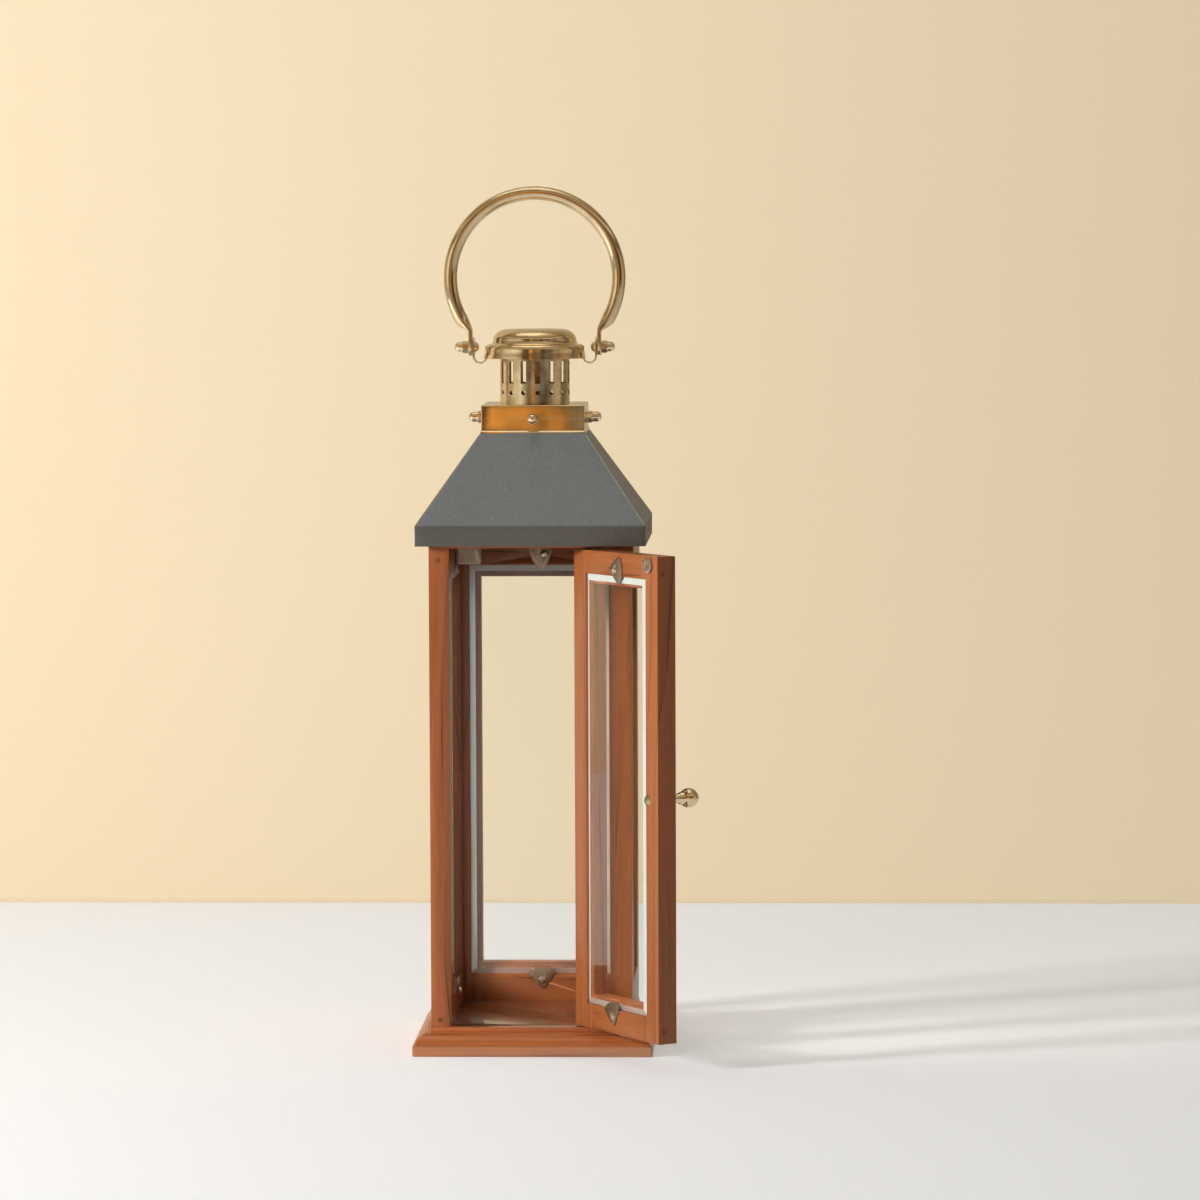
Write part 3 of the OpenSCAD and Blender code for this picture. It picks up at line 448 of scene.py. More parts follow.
def bumped(tree, shader, height, depth, strength=1.0):
    shader.inputs["Normal"].default_value = (0, 0, 0)
    feed(tree, shader.inputs["Normal"],
         add(tree, "ShaderNodeBump", {"Height": height, "Distance": depth, "Strength": strength}))


def object_place(tree):
    return add(tree, "ShaderNodeTexCoord", output=3)


def height_of(tree):
    return add(tree, "ShaderNodeSeparateXYZ", {0: object_place(tree)}, output=2)


def wood_material(name, tone, gloss=0.38, shine=None, haze=0.16, worn_below=0.0):
    """Varnished wood, worn paler below a height. The grain attribute says where a point is in its board."""
    look = bpy.context.scene.lantern_wood
    made, tree, shader = material_named(name)
    grain = add(tree, "ShaderNodeAttribute", output=1, attribute_name="grain")
    wander = vectors(tree, "ADD", cloud(tree, grain, (9, 9, 2.6), output=1), (-0.5, -0.5, -0.5))
    bent = vectors(tree, "MULTIPLY_ADD", wander, (0.03, 0.03, 0.0), grain)
    radius = vectors(tree, "LENGTH", stretched(tree, bent, (1, 1, 0)), output=1)
    rings = maths(tree, "FRACT", maths(tree, "DIVIDE", radius, look.ring_gap))
    rise = span(tree, rings, 0.35, 0.97)
    line = times(tree, maths(tree, "POWER", rise, 16.0), span(tree, rings, 1.0, 0.975))
    patchy = span(tree, cloud(tree, grain, (60, 60, 9)), 0.38, 0.62)
    line = times(tree, times(tree, line, patchy), 0.85)
    fibre = cloud(tree, bent, (1500, 1500, 26), 4.0, 0.6)
    streak = cloud(tree, bent, (260, 260, 6), 3.0, 0.55)
    blotch = cloud(tree, grain, (22, 22, 7))
    pores = span(tree, cloud(tree, bent, (2600, 2600, 110)), 0.64, 0.72)
    base = layered(
        tree, tone,
        (span(tree, streak, 0.45, 0.72, 0.0, 0.42), look.dark_tone),
        (span(tree, fibre, 0.35, 0.7, 0.0, 0.26), look.dark_tone),
        (span(tree, blotch, 0.35, 0.7, 0.0, 0.25), toned(tone, 1.35)),
        (times(tree, rise, 0.13), look.dark_tone),
        (line, look.line_tone),
        (times(tree, pores, 0.35), look.line_tone))
    if worn_below:
        fade = 0.8 * MM
        rubbed = times(tree, span(tree, height_of(tree), worn_below + fade, worn_below - fade),
                       span(tree, blotch, 0.25, 0.6, 0.3, 0.75))
        base = between(tree, rubbed, base, (0.68, 0.36, 0.21))
    # The shade attribute pulls faces towards the line tone: painted shade inside the chamber and on the door's
    # lip, and one board darker all over.
    shade = add(tree, "ShaderNodeAttribute", output=2, attribute_name="shade")
    fill(tree, shader, {
        "Base Color": between(tree, shade, base, look.line_tone),
        "Roughness": span(tree, fibre, 0.3, 0.7, gloss - 0.05, gloss + 0.09),
        "Coat Weight": look.varnish if shine is None else shine, "Coat Roughness": haze,
        "Specular IOR Level": 0.32})
    relief = maths(tree, "SUBTRACT", times(tree, fibre, 0.5), maths(tree, "ADD", line, pores))
    bumped(tree, shader, relief, 0.06 * MM)
    return made


def end_grain_material():
    """Dark end of a dowel, cut flush."""
    made, tree, shader = material_named("dowel end")
    speck = cloud(tree, object_place(tree), 1600.0)
    dark_tone = bpy.context.scene.lantern_wood.dark_tone
    fill(tree, shader, {
        "Base Color": between(tree, span(tree, speck, 0.35, 0.65), (0.29, 0.088, 0.030), dark_tone),
        "Roughness": span(tree, speck, 0.3, 0.7, 0.4, 0.6)})
    bumped(tree, shader, speck, 0.04 * MM)
    return made


def polished_metal(name, tone, rough, brush=(900, 900, 900), tarnish=0.0, warp=0.0, bow=0.0):
    """Polished metal with faint marks, finger smears, a little tarnish and gentle waves."""
    made, tree, shader = material_named(name)
    where = object_place(tree)
    mark_depth = 0.012 * MM
    smear = cloud(tree, where, 34.0, 3.0, 0.55)
    grime = cloud(tree, where, 130.0, 4.0, 0.65)
    marks = cloud(tree, where, brush)
    base = between(tree, span(tree, grime, 0.45, 0.75, 0.0, 0.18 + tarnish), tone, toned(tone, 0.55))
    if tarnish:
        stain = span(tree, cloud(tree, where, (90, 90, 30), 3.0, 0.6), 0.4, 0.7, 0.0, tarnish)
        base = between(tree, stain, base, tuple(c * k for c, k in zip(tone, (0.42, 0.36, 0.30))))
    fill(tree, shader, {
        "Base Color": base, "Metallic": 1.0,
        "Roughness": maths(tree, "ADD", span(tree, smear, 0.35, 0.7, rough * 0.7, rough * 1.5),
                           span(tree, marks, 0.3, 0.7, -0.015, 0.03))})
    waves = times(tree, cloud(tree, where, 30.0, 1.0), warp / mark_depth)
    if bow:
        across = stretched(tree, where, (1, 1, 0))
        reach = vectors(tree, "DOT_PRODUCT", across, across, output=1)
        waves = maths(tree, "SUBTRACT", waves, times(tree, reach, bow / mark_depth))
    bumped(tree, shader, maths(tree, "ADD", marks, waves), mark_depth)
    return made


def scratched_metal(name, tone, rough):
    """Dull sheet metal with fine scratches and pits."""
    made, tree, shader = material_named(name)
    where = object_place(tree)
    scratch = span(tree, cloud(tree, where, (260, 2600, 2600), 3.0), 0.58, 0.66)
    cross = span(tree, cloud(tree, where, (2400, 2400, 240), 3.0), 0.6, 0.68)
    pits = cloud(tree, where, 900.0, 3.0, 0.7)
    worn = maths(tree, "MAXIMUM", scratch, cross)
    fill(tree, shader, {
        "Base Color": layered(tree, tone, (span(tree, pits, 0.4, 0.7, 0.0, 0.6), toned(tone, 0.55)),
                              (times(tree, worn, 0.5), toned(tone, 1.7))),
        "Metallic": 0.9, "Roughness": span(tree, pits, 0.3, 0.7, rough - 0.08, rough + 0.12)})
    bumped(tree, shader, maths(tree, "SUBTRACT", pits, worn), 0.03 * MM)
    return made


def speckled_paint():
    """Grey paint with fine lighter and darker flecks, slightly pebbled, and darker and browner along the skirt as
    painted shade.
    """
    look = bpy.context.scene.lantern_hood
    made, tree, shader = material_named("speckled paint")
    where = object_place(tree)
    fleck = cloud(tree, where, 1.0 / look.fleck_size, 2.0, 0.6)
    fine = cloud(tree, where, 2.6 / look.fleck_size, 2.0, 0.6)
    wash = cloud(tree, where, 26.0, 3.0)
    # Painted shade: the upright skirt below the fold is drawn darker and browner than the slopes.
    skirt_shade = span(tree, height_of(tree), FOLD_Z + 0.6 * MM, FOLD_Z - 1.2 * MM, 0.0, 0.62)
    base = layered(
        tree, look.paint,
        (span(tree, fleck, 0.46, 0.72, 0.0, 0.6), look.fleck),
        (span(tree, fine, 0.55, 0.72, 0.0, 0.4), look.fleck),
        (span(tree, fleck, 0.44, 0.26, 0.0, 0.5), toned(look.paint, 0.5)),
        (span(tree, wash, 0.4, 0.7, 0.0, 0.16), (0.17, 0.165, 0.155)),
        (skirt_shade, (0.112, 0.083, 0.060)))
    fill(tree, shader, {"Base Color": base, "Metallic": 0.5, "Specular IOR Level": 0.5,
                        "Roughness": span(tree, fine, 0.3, 0.7, 0.38, 0.6)})
    bumped(tree, shader, maths(tree, "ADD", fleck, times(tree, fine, 0.5)), 0.09 * MM, 0.8)
    return made


def lit_through(tree, shader):
    """Lets lamps shine through glass, so that it casts no dark shadow."""
    see_through = add(tree, "ShaderNodeBsdfTransparent", {0: bpy.context.scene.lantern_glass.clear})
    shadow = add(tree, "ShaderNodeLightPath", output=1)
    show(tree, add(tree, "ShaderNodeMixShader", {0: shadow, 1: shader.outputs[0], 2: see_through}))


def clear_glass():
    made, tree, shader = material_named("clear glass")
    fill(tree, shader, {"Base Color": bpy.context.scene.lantern_glass.clear, "Transmission Weight": 1.0,
                        "Roughness": 0.0, "IOR": 1.45})
    lit_through(tree, shader)
    return made


def ground_glass(name, tone, clearness):
    """The pale ground bevel round a pane, which lets soft light through."""
    made, tree, shader = material_named(name)
    streak = cloud(tree, object_place(tree), (60, 60, 9))
    fill(tree, shader, {
        "Base Color": between(tree, span(tree, streak, 0.3, 0.7, 0.0, 0.5), tone, (0.86, 0.92, 0.86)),
        "Transmission Weight": clearness, "Roughness": 0.3, "IOR": 1.3, "Coat Weight": 0.4,
        "Coat Roughness": 0.04})
    bumped(tree, shader, streak, 0.05 * MM)
    lit_through(tree, shader)
    return made


# ---- boards ----

def corners_of(mesh):
    points = [v.co for v in mesh.vertices]
    return (Vector([min(p[i] for p in points) for i in range(3)]),
            Vector([max(p[i] for p in points) for i in range(3)]))


def inside(point, box, slack=0.05 * MM):
    return all(box[0][i] - slack <= point[i] <= box[1][i] + slack for i in range(3))


def weigh_edges(piece, others, thin):
    """Marks long edges to be rounded, and those where another board meets this one to be rounded less."""
    mesh = piece.data
    weights = mesh.attributes.new("bevel_weight_edge", "FLOAT", "EDGE")
    for edge in mesh.edges:
        a, b = (mesh.vertices[i].co for i in edge.vertices)
        if (a - b).length > 3 * MM:
            near = any(inside((a + b) / 2, box) for box in others)
            weights.data[edge.index].value = thin if near else 1.0


def store_grain(piece, along, seed, tilt=0.035):
    """Stores each point's place in its board, with the pith somewhere beside it."""
    dice = random.Random(seed)
    across = Z if abs(along.z) < 0.5 else X
    through = along.cross(across)
    side = dice.choice((-1, 1)) * dice.uniform(0.02, 0.05)
    deep = dice.choice((-1, 1)) * dice.uniform(0.012, 0.04)
    lean, lean_deep, slide = dice.uniform(-tilt, tilt), dice.uniform(-tilt, tilt), dice.uniform(0, 5)
    centre = sum(corners_of(piece.data), Vector()) / 2
    grain = piece.data.attributes.new("grain", "FLOAT_VECTOR", "POINT")
    for vertex in piece.data.vertices:
        p = vertex.co - centre
        s = p.dot(along)
        grain.data[vertex.index].vector = (
            p.dot(across) + side + lean * s, p.dot(through) + deep + lean_deep * s, s + slide)


def store_shade(piece, node):
    """Stores how much darker each face is drawn: one whole board, and painted shade towards the chamber and on the
    lip under a pane.
    """
    board = 0.34 if node == "right_front_stile" else 0.0
    lip = max(v.co.y for v in piece.data.vertices) - 2 * MM
    shade = piece.data.attributes.new("shade", "FLOAT", "FACE")
    for face in piece.data.polygons:
        # Painted shade: the door lip's faces under the pane and every face towards the chamber are drawn darker.
        if node in DOOR_BOARDS:
            shaded = 0.6 if face.normal.y > 0.5 and face.center.y < lip else 0.0
        else:
            shaded = 0.45 if face.normal.xy.dot(face.center.xy) < 0 else 0.0
        shade.data[face.index].value = max(board, shaded)


def make_boards(boards, material, slot, body, shut=None):
    """Makes a group of joined boards. boards maps a node to its grain's direction."""
    look = bpy.context.scene.lantern_wood
    copies = {node: merged_copy(node + "_board", node) for node in boards}
    if shut is not None:
        for piece in copies.values():
            place(piece, shut)
    boxes = {node: corners_of(piece.data) for node, piece in copies.items()}
    for node, along in boards.items():
        piece, others = copies[node], [box for other, box in boxes.items() if other != node]
        weigh_edges(piece, others, look.joint_arris / look.arris)
        rounded(piece, look.arris, weighted=True)
        store_grain(piece, along, node)
        store_shade(piece, node)
        if shut is not None:
            place(piece, shut.inverted())
        finish(smooth(piece), material, slot, body, node)


FRAME_BOARDS = {
    **{side + part: Z for side in ("left", "right") for part in ("_front_stile", "_back_stile")},
    **{side + part: Y for side in ("left", "right") for part in ("_bottom_rail", "_top_rail")},
    "back_left_stile": Z, "back_right_stile": Z,
    "back_bottom_rail": X, "back_top_rail": X, "front_header": X,
}
DOOR_BOARDS = {"door_hinge_stile": Z, "door_latch_stile": Z, "door_top_rail": X, "door_bottom_rail": X}


# ---- geometry node trees ----

def node_tree(name, *inputs):
    """A geometry tree with a geometry input and output, inputs of (name, kind, default), and a finish."""
    tree = bpy.data.node_groups.new(name, "GeometryNodeTree")
    for label, kind, default in (("Geometry", "Geometry", None), *inputs, ("Finish", "Material", None)):
        socket = tree.interface.new_socket(label, in_out="INPUT", socket_type="NodeSocket" + kind)
        if default is not None:
            socket.default_value = default
    tree.interface.new_socket("Geometry", in_out="OUTPUT", socket_type="NodeSocketGeometry")
    return tree, tree.nodes.new("NodeGroupInput"), tree.nodes.new("NodeGroupOutput")


def end_tree(tree, start, end, shapes, merge=None):
    """Ends a tree in a plain mesh with the finish on it."""
    shapes = add(tree, "GeometryNodeRealizeInstances", {"Geometry": shapes})
    if merge:
        shapes = add(tree, "GeometryNodeMergeByDistance", {"Geometry": shapes, "Distance": merge})
    feed(tree, end.inputs["Geometry"],
         add(tree, "GeometryNodeSetMaterial", {"Geometry": shapes, "Material": start.outputs["Finish"]}))
    return tree


def run_tree(piece, tree, **values):
    """Puts a tree on a piece, sets its inputs by name, and keeps the result as a plain mesh."""
    modifier = piece.modifiers.new(tree.name, "NODES")
    modifier.node_group = tree
    sockets = {s.name: s.identifier for s in tree.interface.items_tree if s.in_out == "INPUT"}
    for label, value in values.items():
        modifier[sockets[label.replace("_", " ")]] = value
    return keep_modifiers(piece)


def fastener_tree():
    """Puts a copy of one fastener on each point, aimed along the point's own direction."""
    tree, start, end = node_tree("fasteners", ("Fastener", "Object", None))
    points = add(tree, "GeometryNodeMeshToPoints", {"Mesh": start.outputs["Geometry"]})
    aim = add(tree, "GeometryNodeInputNamedAttribute", {"Name": "aim"}, data_type="FLOAT_VECTOR")
    spin = add(tree, "GeometryNodeInputNamedAttribute", {"Name": "spin"}, data_type="FLOAT")
    upright = add(tree, "FunctionNodeAlignRotationToVector", {"Vector": aim}, axis="Z")
    about = add(tree, "FunctionNodeAxisAngleToRotation", {"Axis": (0, 0, 1), "Angle": spin})
    turn = add(tree, "FunctionNodeRotateRotation", {"Rotation": upright, "Rotate By": about},
               rotation_space="LOCAL")
    shape = add(tree, "GeometryNodeObjectInfo", {"Object": start.outputs["Fastener"]}, output=4)
    copies = add(tree, "GeometryNodeInstanceOnPoints", {
        "Points": points, "Instance": shape, "Rotation": turn})
    return end_tree(tree, start, end, copies)


def place_fasteners(name, pattern, places, material):
    """One mesh of like fasteners. places holds a point, a direction and a turn for each."""
    piece = object_of_points(name, [tuple(p) for p, _, _ in places])
    layers = piece.data.attributes
    layers.new("aim", "FLOAT_VECTOR", "POINT")
    layers.new("spin", "FLOAT", "POINT")
    for i, (_, aim, spin) in enumerate(places):
        layers["aim"].data[i].vector = aim
        layers["spin"].data[i].value = math.radians(spin)
    run_tree(piece, TREES["fasteners"], Fastener=pattern, Finish=material)
    return smooth(piece)


def bead_tree():
    """Sweeps a thin bead along every edge of the mesh."""
    tree, start, end = node_tree("beads", ("Radius", "Float", 0.001), ("Sides", "Int", 10))
    path = add(tree, "GeometryNodeMeshToCurve", {"Mesh": start.outputs["Geometry"]})
    round_wire = add(tree, "GeometryNodeCurvePrimitiveCircle", {
        "Resolution": start.outputs["Sides"], "Radius": start.outputs["Radius"]})
    wire = add(tree, "GeometryNodeCurveToMesh", {
        "Curve": path, "Profile Curve": round_wire, "Fill Caps": True})
    return end_tree(tree, start, end, wire)


def chimney_tree():
    """Repeats a slotted panel round the axis, with one plain panel at the seam."""
    tree, start, end = node_tree(
        "chimney panels", ("Panels", "Int", 15), ("Seam", "Int", 7), ("First turn", "Float", 0.0),
        ("Plain panel", "Object", None))
    count = start.outputs["Panels"]
    points = add(tree, "GeometryNodePoints", {"Count": count})
    index = add(tree, "GeometryNodeInputIndex")
    step = maths(tree, "DIVIDE", 2 * math.pi, count)
    angle = maths(tree, "MULTIPLY_ADD", index, step, start.outputs["First turn"])
    turn = add(tree, "FunctionNodeAxisAngleToRotation", {"Axis": (0, 0, 1), "Angle": angle})
    at_seam = add(tree, "FunctionNodeCompare", {2: index, 3: start.outputs["Seam"]},
                  data_type="INT", operation="EQUAL")
    elsewhere = add(tree, "FunctionNodeBooleanMath", {0: at_seam}, operation="NOT")
    plain = add(tree, "GeometryNodeObjectInfo", {"Object": start.outputs["Plain panel"]}, output=4)
    both = tree.nodes.new("GeometryNodeJoinGeometry")
    for chosen, panel in ((elsewhere, start.outputs["Geometry"]), (at_seam, plain)):
        tree.links.new(add(tree, "GeometryNodeInstanceOnPoints", {
            "Points": points, "Selection": chosen, "Instance": panel, "Rotation": turn}), both.inputs[0])
    return end_tree(tree, start, end, both.outputs[0], 0.02 * MM)


TREES = {}
FINISHES = {}


# ---- shapes of single pieces ----

def cap_nut_shape(total, flats=8 * MM, hex_height=4.4 * MM):
    """A domed nut on z = 0: a chamfered hexagon and a round dome."""
    dome, sides = 0.47 * flats, 72
    centre = total - dome
    rows = [
        (flats / 2 + 0.25 * MM, 0.0), (flats, 0.35 * MM), (flats, hex_height - 0.45 * MM),
        (flats / 2 + 0.1 * MM, hex_height), (dome + 0.1 * MM, hex_height),
        (dome, hex_height + 0.2 * MM), (dome, centre)]
    rows += arc((0, centre), dome, 90 / 16, 90 * 15 / 16, 14)
    points = []
    for limit, height in rows:
        for i in range(sides):
            a = 2 * math.pi * i / sides
            flat = flats / 2 / math.cos((a + math.pi / 6) % (math.pi / 3) - math.pi / 6)
            r = min(flat, limit) if height <= hex_height else limit
            points.append((r * math.cos(a), r * math.sin(a), height))
    top = len(points)
    faces = ring_faces(len(rows), sides)
    faces += [(top - sides + i, top - sides + (i + 1) % sides, top) for i in range(sides)]
    faces.append(tuple(reversed(range(sides))))
    return object_of_points("cap_nut_pattern", points + [(0, 0, total)], faces)


def screw_head_shape(width, height, slot, slot_deep):
    """A round slotted screw head on z = 0."""
    ball = (width * width / 4 + height * height) / (2 * height)
    rim = math.degrees(math.asin(width / 2 / ball))
    head = turned("screw_pattern", [(0, 0)] + arc((0, height - ball), ball, 90 - rim, 90, 10), 48)
    corners = [(x * width, y * slot / 2, height - slot_deep + z * height)
               for x in (-1, 1) for y in (-1, 1) for z in (0, 1)]
    block = object_of_points("slot_block", corners, [
        (0, 1, 3, 2), (4, 6, 7, 5), (0, 4, 5, 1), (2, 3, 7, 6), (0, 2, 6, 4), (1, 5, 7, 3)])
    cut = head.modifiers.new("slot", "BOOLEAN")
    cut.operation, cut.object, cut.solver = "DIFFERENCE", block, "EXACT"
    keep_modifiers(head)
    bpy.data.objects.remove(block)
    return rounded(head, 0.08 * MM, 1, 40)


def chimney_panel(radius, low_z, high_z, half_turn, slot=None, vent=None):
    """One panel of the chimney's wall. slot is (half width, low, high), and vent is (height, radius)."""
    edge = slot[0] / radius if slot else half_turn * 0.4
    side = [edge / 3, edge, (half_turn + edge) / 2, half_turn]
    columns, rows, open_rows = [-a for a in reversed(side)] + side, [low_z, high_z], ()
    if slot:
        rows[1:1] = [vent[0] - slot[0], vent[0] + slot[0], slot[1], slot[2]]
        open_rows = (rows[1], rows[3])
    bm = bmesh.new()

    def face(*corners):
        bm.faces.new([bm.verts.new((radius * math.sin(a), -radius * math.cos(a), z)) for a, z in corners])

    for z0, z1 in zip(rows, rows[1:]):
        for a0, a1 in zip(columns, columns[1:]):
            if not (z0 in open_rows and abs(a0 + a1) / 2 < edge):
                face((a0, z0), (a1, z0), (a1, z1), (a0, z1))
    if slot:
        ring_out, ring_in, count = [], [], 24
        for i in range(count):
            t = 2 * math.pi * i / count
            reach = slot[0] / max(abs(math.cos(t)), abs(math.sin(t)))
            for ring, r in ((ring_out, reach), (ring_in, vent[1])):
                ring.append((r * math.cos(t) / radius, vent[0] + r * math.sin(t)))
        for i in range(count):
            j = (i + 1) % count
            face(ring_out[i], ring_out[j], ring_in[j], ring_in[i])
    bmesh.ops.remove_doubles(bm, verts=bm.verts, dist=0.001 * MM)
    return object_from("chimney_panel", bm)


def swept_bar(name, stations, sides=32):
    """A bar along stations of (middle, direction in the bail's plane, thickness, width, squareness)."""
    points = []
    for centre, out, thick, wide, square in stations:
        for i in range(sides):
            a = 2 * math.pi * i / sides
            c, s = math.cos(a), math.sin(a)
            u = math.copysign(abs(c) ** (2 / square), c) * thick / 2
            v = math.copysign(abs(s) ** (2 / square), s) * wide / 2
            points.append(centre + out * u + Y * v)
    return outwards(object_of_points(name, points, ring_faces(len(stations), sides, True)))


# ---- operators, one for each piece or group of like pieces ----

class LANTERN_OT_camera(bpy.types.Operator):
    """Places the camera at the photograph's viewing angle"""
    bl_idname = "lantern.camera"
    bl_label = "Camera"

    def execute(self, context):
        data = bpy.data.cameras.new("camera")
        data.lens, data.sensor_width, data.clip_end = context.scene.lantern_stage.lens, 36.0, 100.0
        camera = new_object("camera", data)
        yaw, pitch, roll = 2.20, -4.09, -0.22
        stand = Matrix.Translation((0.2016, -4.0042, 0.6169))
        for angle, axis in ((yaw, "Z"), (90 + pitch, "X"), (roll, "Z")):
            stand = stand @ Matrix.Rotation(math.radians(angle), 4, axis)
        camera.matrix_world = stand
        context.scene.camera = camera
        context.scene.view_settings.view_transform = "Standard"
        return {"FINISHED"}


class LANTERN_OT_trees(bpy.types.Operator):
    """Builds the node trees and the materials that several pieces share"""
    bl_idname = "lantern.trees"
    bl_label = "Shared trees and finishes"

    def execute(self, context):
        scene = context.scene
        metal, wood, rough = scene.lantern_metal, scene.lantern_wood, scene.lantern_metal.brass_rough
        TREES.update(fasteners=fastener_tree(), beads=bead_tree(), chimney=chimney_tree())
        FINISHES.update(
            frame=wood_material("frame wood", wood.frame_tone),
            base=wood_material(
                "base wood", toned(wood.frame_tone, 1.3), gloss=0.34, shine=0.4, worn_below=PLINTH_LIP),
            # Painted shade: the floor board's top takes a much darker tone than the rest of the wood, for the
            # shade inside the lantern.
            board=wood_material("floor board", (0.25, 0.080, 0.032), gloss=0.34, shine=0.9, haze=0.04),
            door=wood_material("door wood", wood.door_tone),
            dowel=end_grain_material(),
            brass=polished_metal("polished brass", metal.brass, rough),
            sheet_brass=polished_metal(
                "sheet brass", metal.brass, rough * 0.9, (60, 60, 1400), tarnish=0.12, warp=1.2 * MM,
                bow=0.5),
            tube_brass=polished_metal(
                "chimney brass", metal.brass, 0.2, (70, 70, 2200), tarnish=0.75, warp=0.6 * MM),
            cap_brass=polished_metal("cap brass", metal.brass, rough * 0.65, tarnish=0.1, warp=0.5 * MM),
            bail_brass=polished_metal("bail brass", toned(metal.brass, 0.95), rough * 0.7, tarnish=0.2),
            nut_brass=polished_metal("nut brass", (0.84, 0.67, 0.43), rough),
            screw=polished_metal("screw metal", metal.screw, 0.26, tarnish=0.2),
            button=scratched_metal("button metal", metal.button, 0.42),
            catch=scratched_metal("catch metal", metal.catch, 0.38),
            strike=scratched_metal("strike metal", (0.55, 0.47, 0.39), 0.3),
            paint=speckled_paint(),
            worn=polished_metal("worn hip", (0.50, 0.49, 0.46), 0.32, tarnish=0.35),
            hood_screw=polished_metal("hood screw", (0.30, 0.26, 0.22), 0.4, tarnish=0.3),
            glass=clear_glass(),
            ground=ground_glass("ground glass", scene.lantern_glass.ground, 0.15),
            # Painted reflection: the panes' foot bevels get a darker, pinker and clearer ground glass than the
            # other bevels.
            worn_bevel=ground_glass("worn bevel", (0.70, 0.62, 0.60), 0.6),
        )
        return {"FINISHED"}


class LANTERN_OT_base(bpy.types.Operator):
    """The plinth, with one round moulding all the way round, and the varnished floor board, whose top is darkened
    as painted shade
    """
    bl_idname = "lantern.base"
    bl_label = "Base"

    def execute(self, context):
        half, top = high("base_plinth").x, high("base_plinth").z
        corner, ledge, ovolo = 1.4 * MM, 1.6 * MM, 13.0 * MM
        levels = [(half - back, r, z) for back, r, z in in_mm(
            (0.5, 1.2, 0), (0.1, 1.4, 0.25), (0, 1.4, 0.6), (0, 1.4, 7.0), (0.15, 1.4, 7.4),
            (0.6, 1.4, 7.6))]
        for angle in (0, 8, 16, 24, 33, 42, 51, 60, 69, 78, 86, 90):
            a = math.radians(angle)
            across = half - ledge - (ovolo - ledge) * (1 - math.cos(a))
            levels.append((across, corner, PLINTH_LIP + (top - PLINTH_LIP) * math.sin(a)))
        levels.append((half - ovolo - 3 * MM, 1.0 * MM, top))
        base = square_loft("plinth", levels, 1, 5, hollow=False)
        store_mitred_grain(base)
        finish(smooth(base, 30), FINISHES["base"], "base_wood", "root", "base_plinth")

        board = rounded(merged_copy("floor_panel", "floor_board"), 0.5 * MM)
        store_grain(board, X, "floor board")
        board.data.materials.append(FINISHES["board"])
        board.data.materials.append(FINISHES["base"])
        # The board's top gets the darker finish as painted shade, and its edges get the base finish.
        for face in board.data.polygons:
            face.material_index = 1 if abs(face.normal.z) < 0.5 else 0
        finish(smooth(board), None, "floor_varnish", "root", "floor_board")
        dress_nodes(FINISHES["screw"], "base_screws")
        return {"FINISHED"}


def store_mitred_grain(piece):
    """Lets the grain of a square moulding run along each side, as mitred strips have it."""
    grain = piece.data.attributes.new("grain", "FLOAT_VECTOR", "POINT")
    for vertex in piece.data.vertices:
        x, y, z = vertex.co
        if abs(x) > abs(y):
            place_in_strip = (z + 0.052, abs(x) - 0.15, y + (1.3 if x > 0 else 2.1))
        else:
            place_in_strip = (z + 0.047, abs(y) - 0.16, x + (0.4 if y > 0 else 3.3))
        grain.data[vertex.index].vector = place_in_strip


class LANTERN_OT_frame(bpy.types.Operator):
    """Stiles and rails of the sides, the back and the front header, with their dowels"""
    bl_idname = "lantern.frame"
    bl_label = "Frame"

    def execute(self, context):
        make_boards(FRAME_BOARDS, FINISHES["frame"], "frame_wood", "root")
        dress_nodes(FINISHES["dowel"], "frame_dowels", "hood_battens")
        return {"FINISHED"}


class LANTERN_OT_door(bpy.types.Operator):
    """The door's boards, with their dowels and pivot pins"""
    bl_idname = "lantern.door"
    bl_label = "Door"

    def execute(self, context):
        make_boards(DOOR_BOARDS, FINISHES["door"], "door_wood", "door", SHUT_DOOR)
        dress_nodes(FINISHES["dowel"], "door_dowels")
        dress_nodes(FINISHES["screw"], "door_pivot_pins")
        return {"FINISHED"}


class LANTERN_OT_panes(bpy.types.Operator):
    """Four panes with a ground bevel"""
    bl_idname = "lantern.panes"
    bl_label = "Panes"

    def execute(self, context):
        for node in ("left_glass", "right_glass", "back_glass", "door_glass"):
            pane = merged_copy(node + "_pane", node)
            mesh = pane.data
            for name in ("glass", "ground", "worn_bevel"):
                mesh.materials.append(FINISHES[name])
            outer = max(mesh.polygons, key=lambda face: face.area)
            largest, normal = outer.area, outer.normal.copy()
            for i in outer.vertices:
                mesh.vertices[i].co -= normal * 0.25 * MM
            foot = min(v.co.z for v in mesh.vertices) + 5 * MM
            for face in mesh.polygons:
                flat = abs(face.normal.dot(normal)) > 0.999 and face.area > largest * 0.5
                # The lowest bevel faces take the darker, pinker foot-bevel glass as a painted reflection.
                lowest = face.center.z < foot and abs(face.normal.z) > 0.02
                face.material_index = 0 if flat else 2 if lowest else 1
                face.use_smooth = False
            finish(pane, None, "pane_glass", BODY_OF[node], node)
        return {"FINISHED"}


BUTTONS = ("back_top_clip", "back_bottom_clip", "left_top_clip", "left_bottom_clip", "right_top_clip",
           "right_bottom_clip", "door_top_clip", "door_bottom_clip")


class LANTERN_OT_buttons(bpy.types.Operator):
    """Turn buttons that hold the panes"""
    bl_idname = "lantern.buttons"
    bl_label = "Turn buttons"

    def execute(self, context):
        for node in BUTTONS:
            rounded_copy(
                node + "_button", node, 0.22 * MM, 40, FINISHES["button"], "clip_sheet", BODY_OF[node])
        return {"FINISHED"}


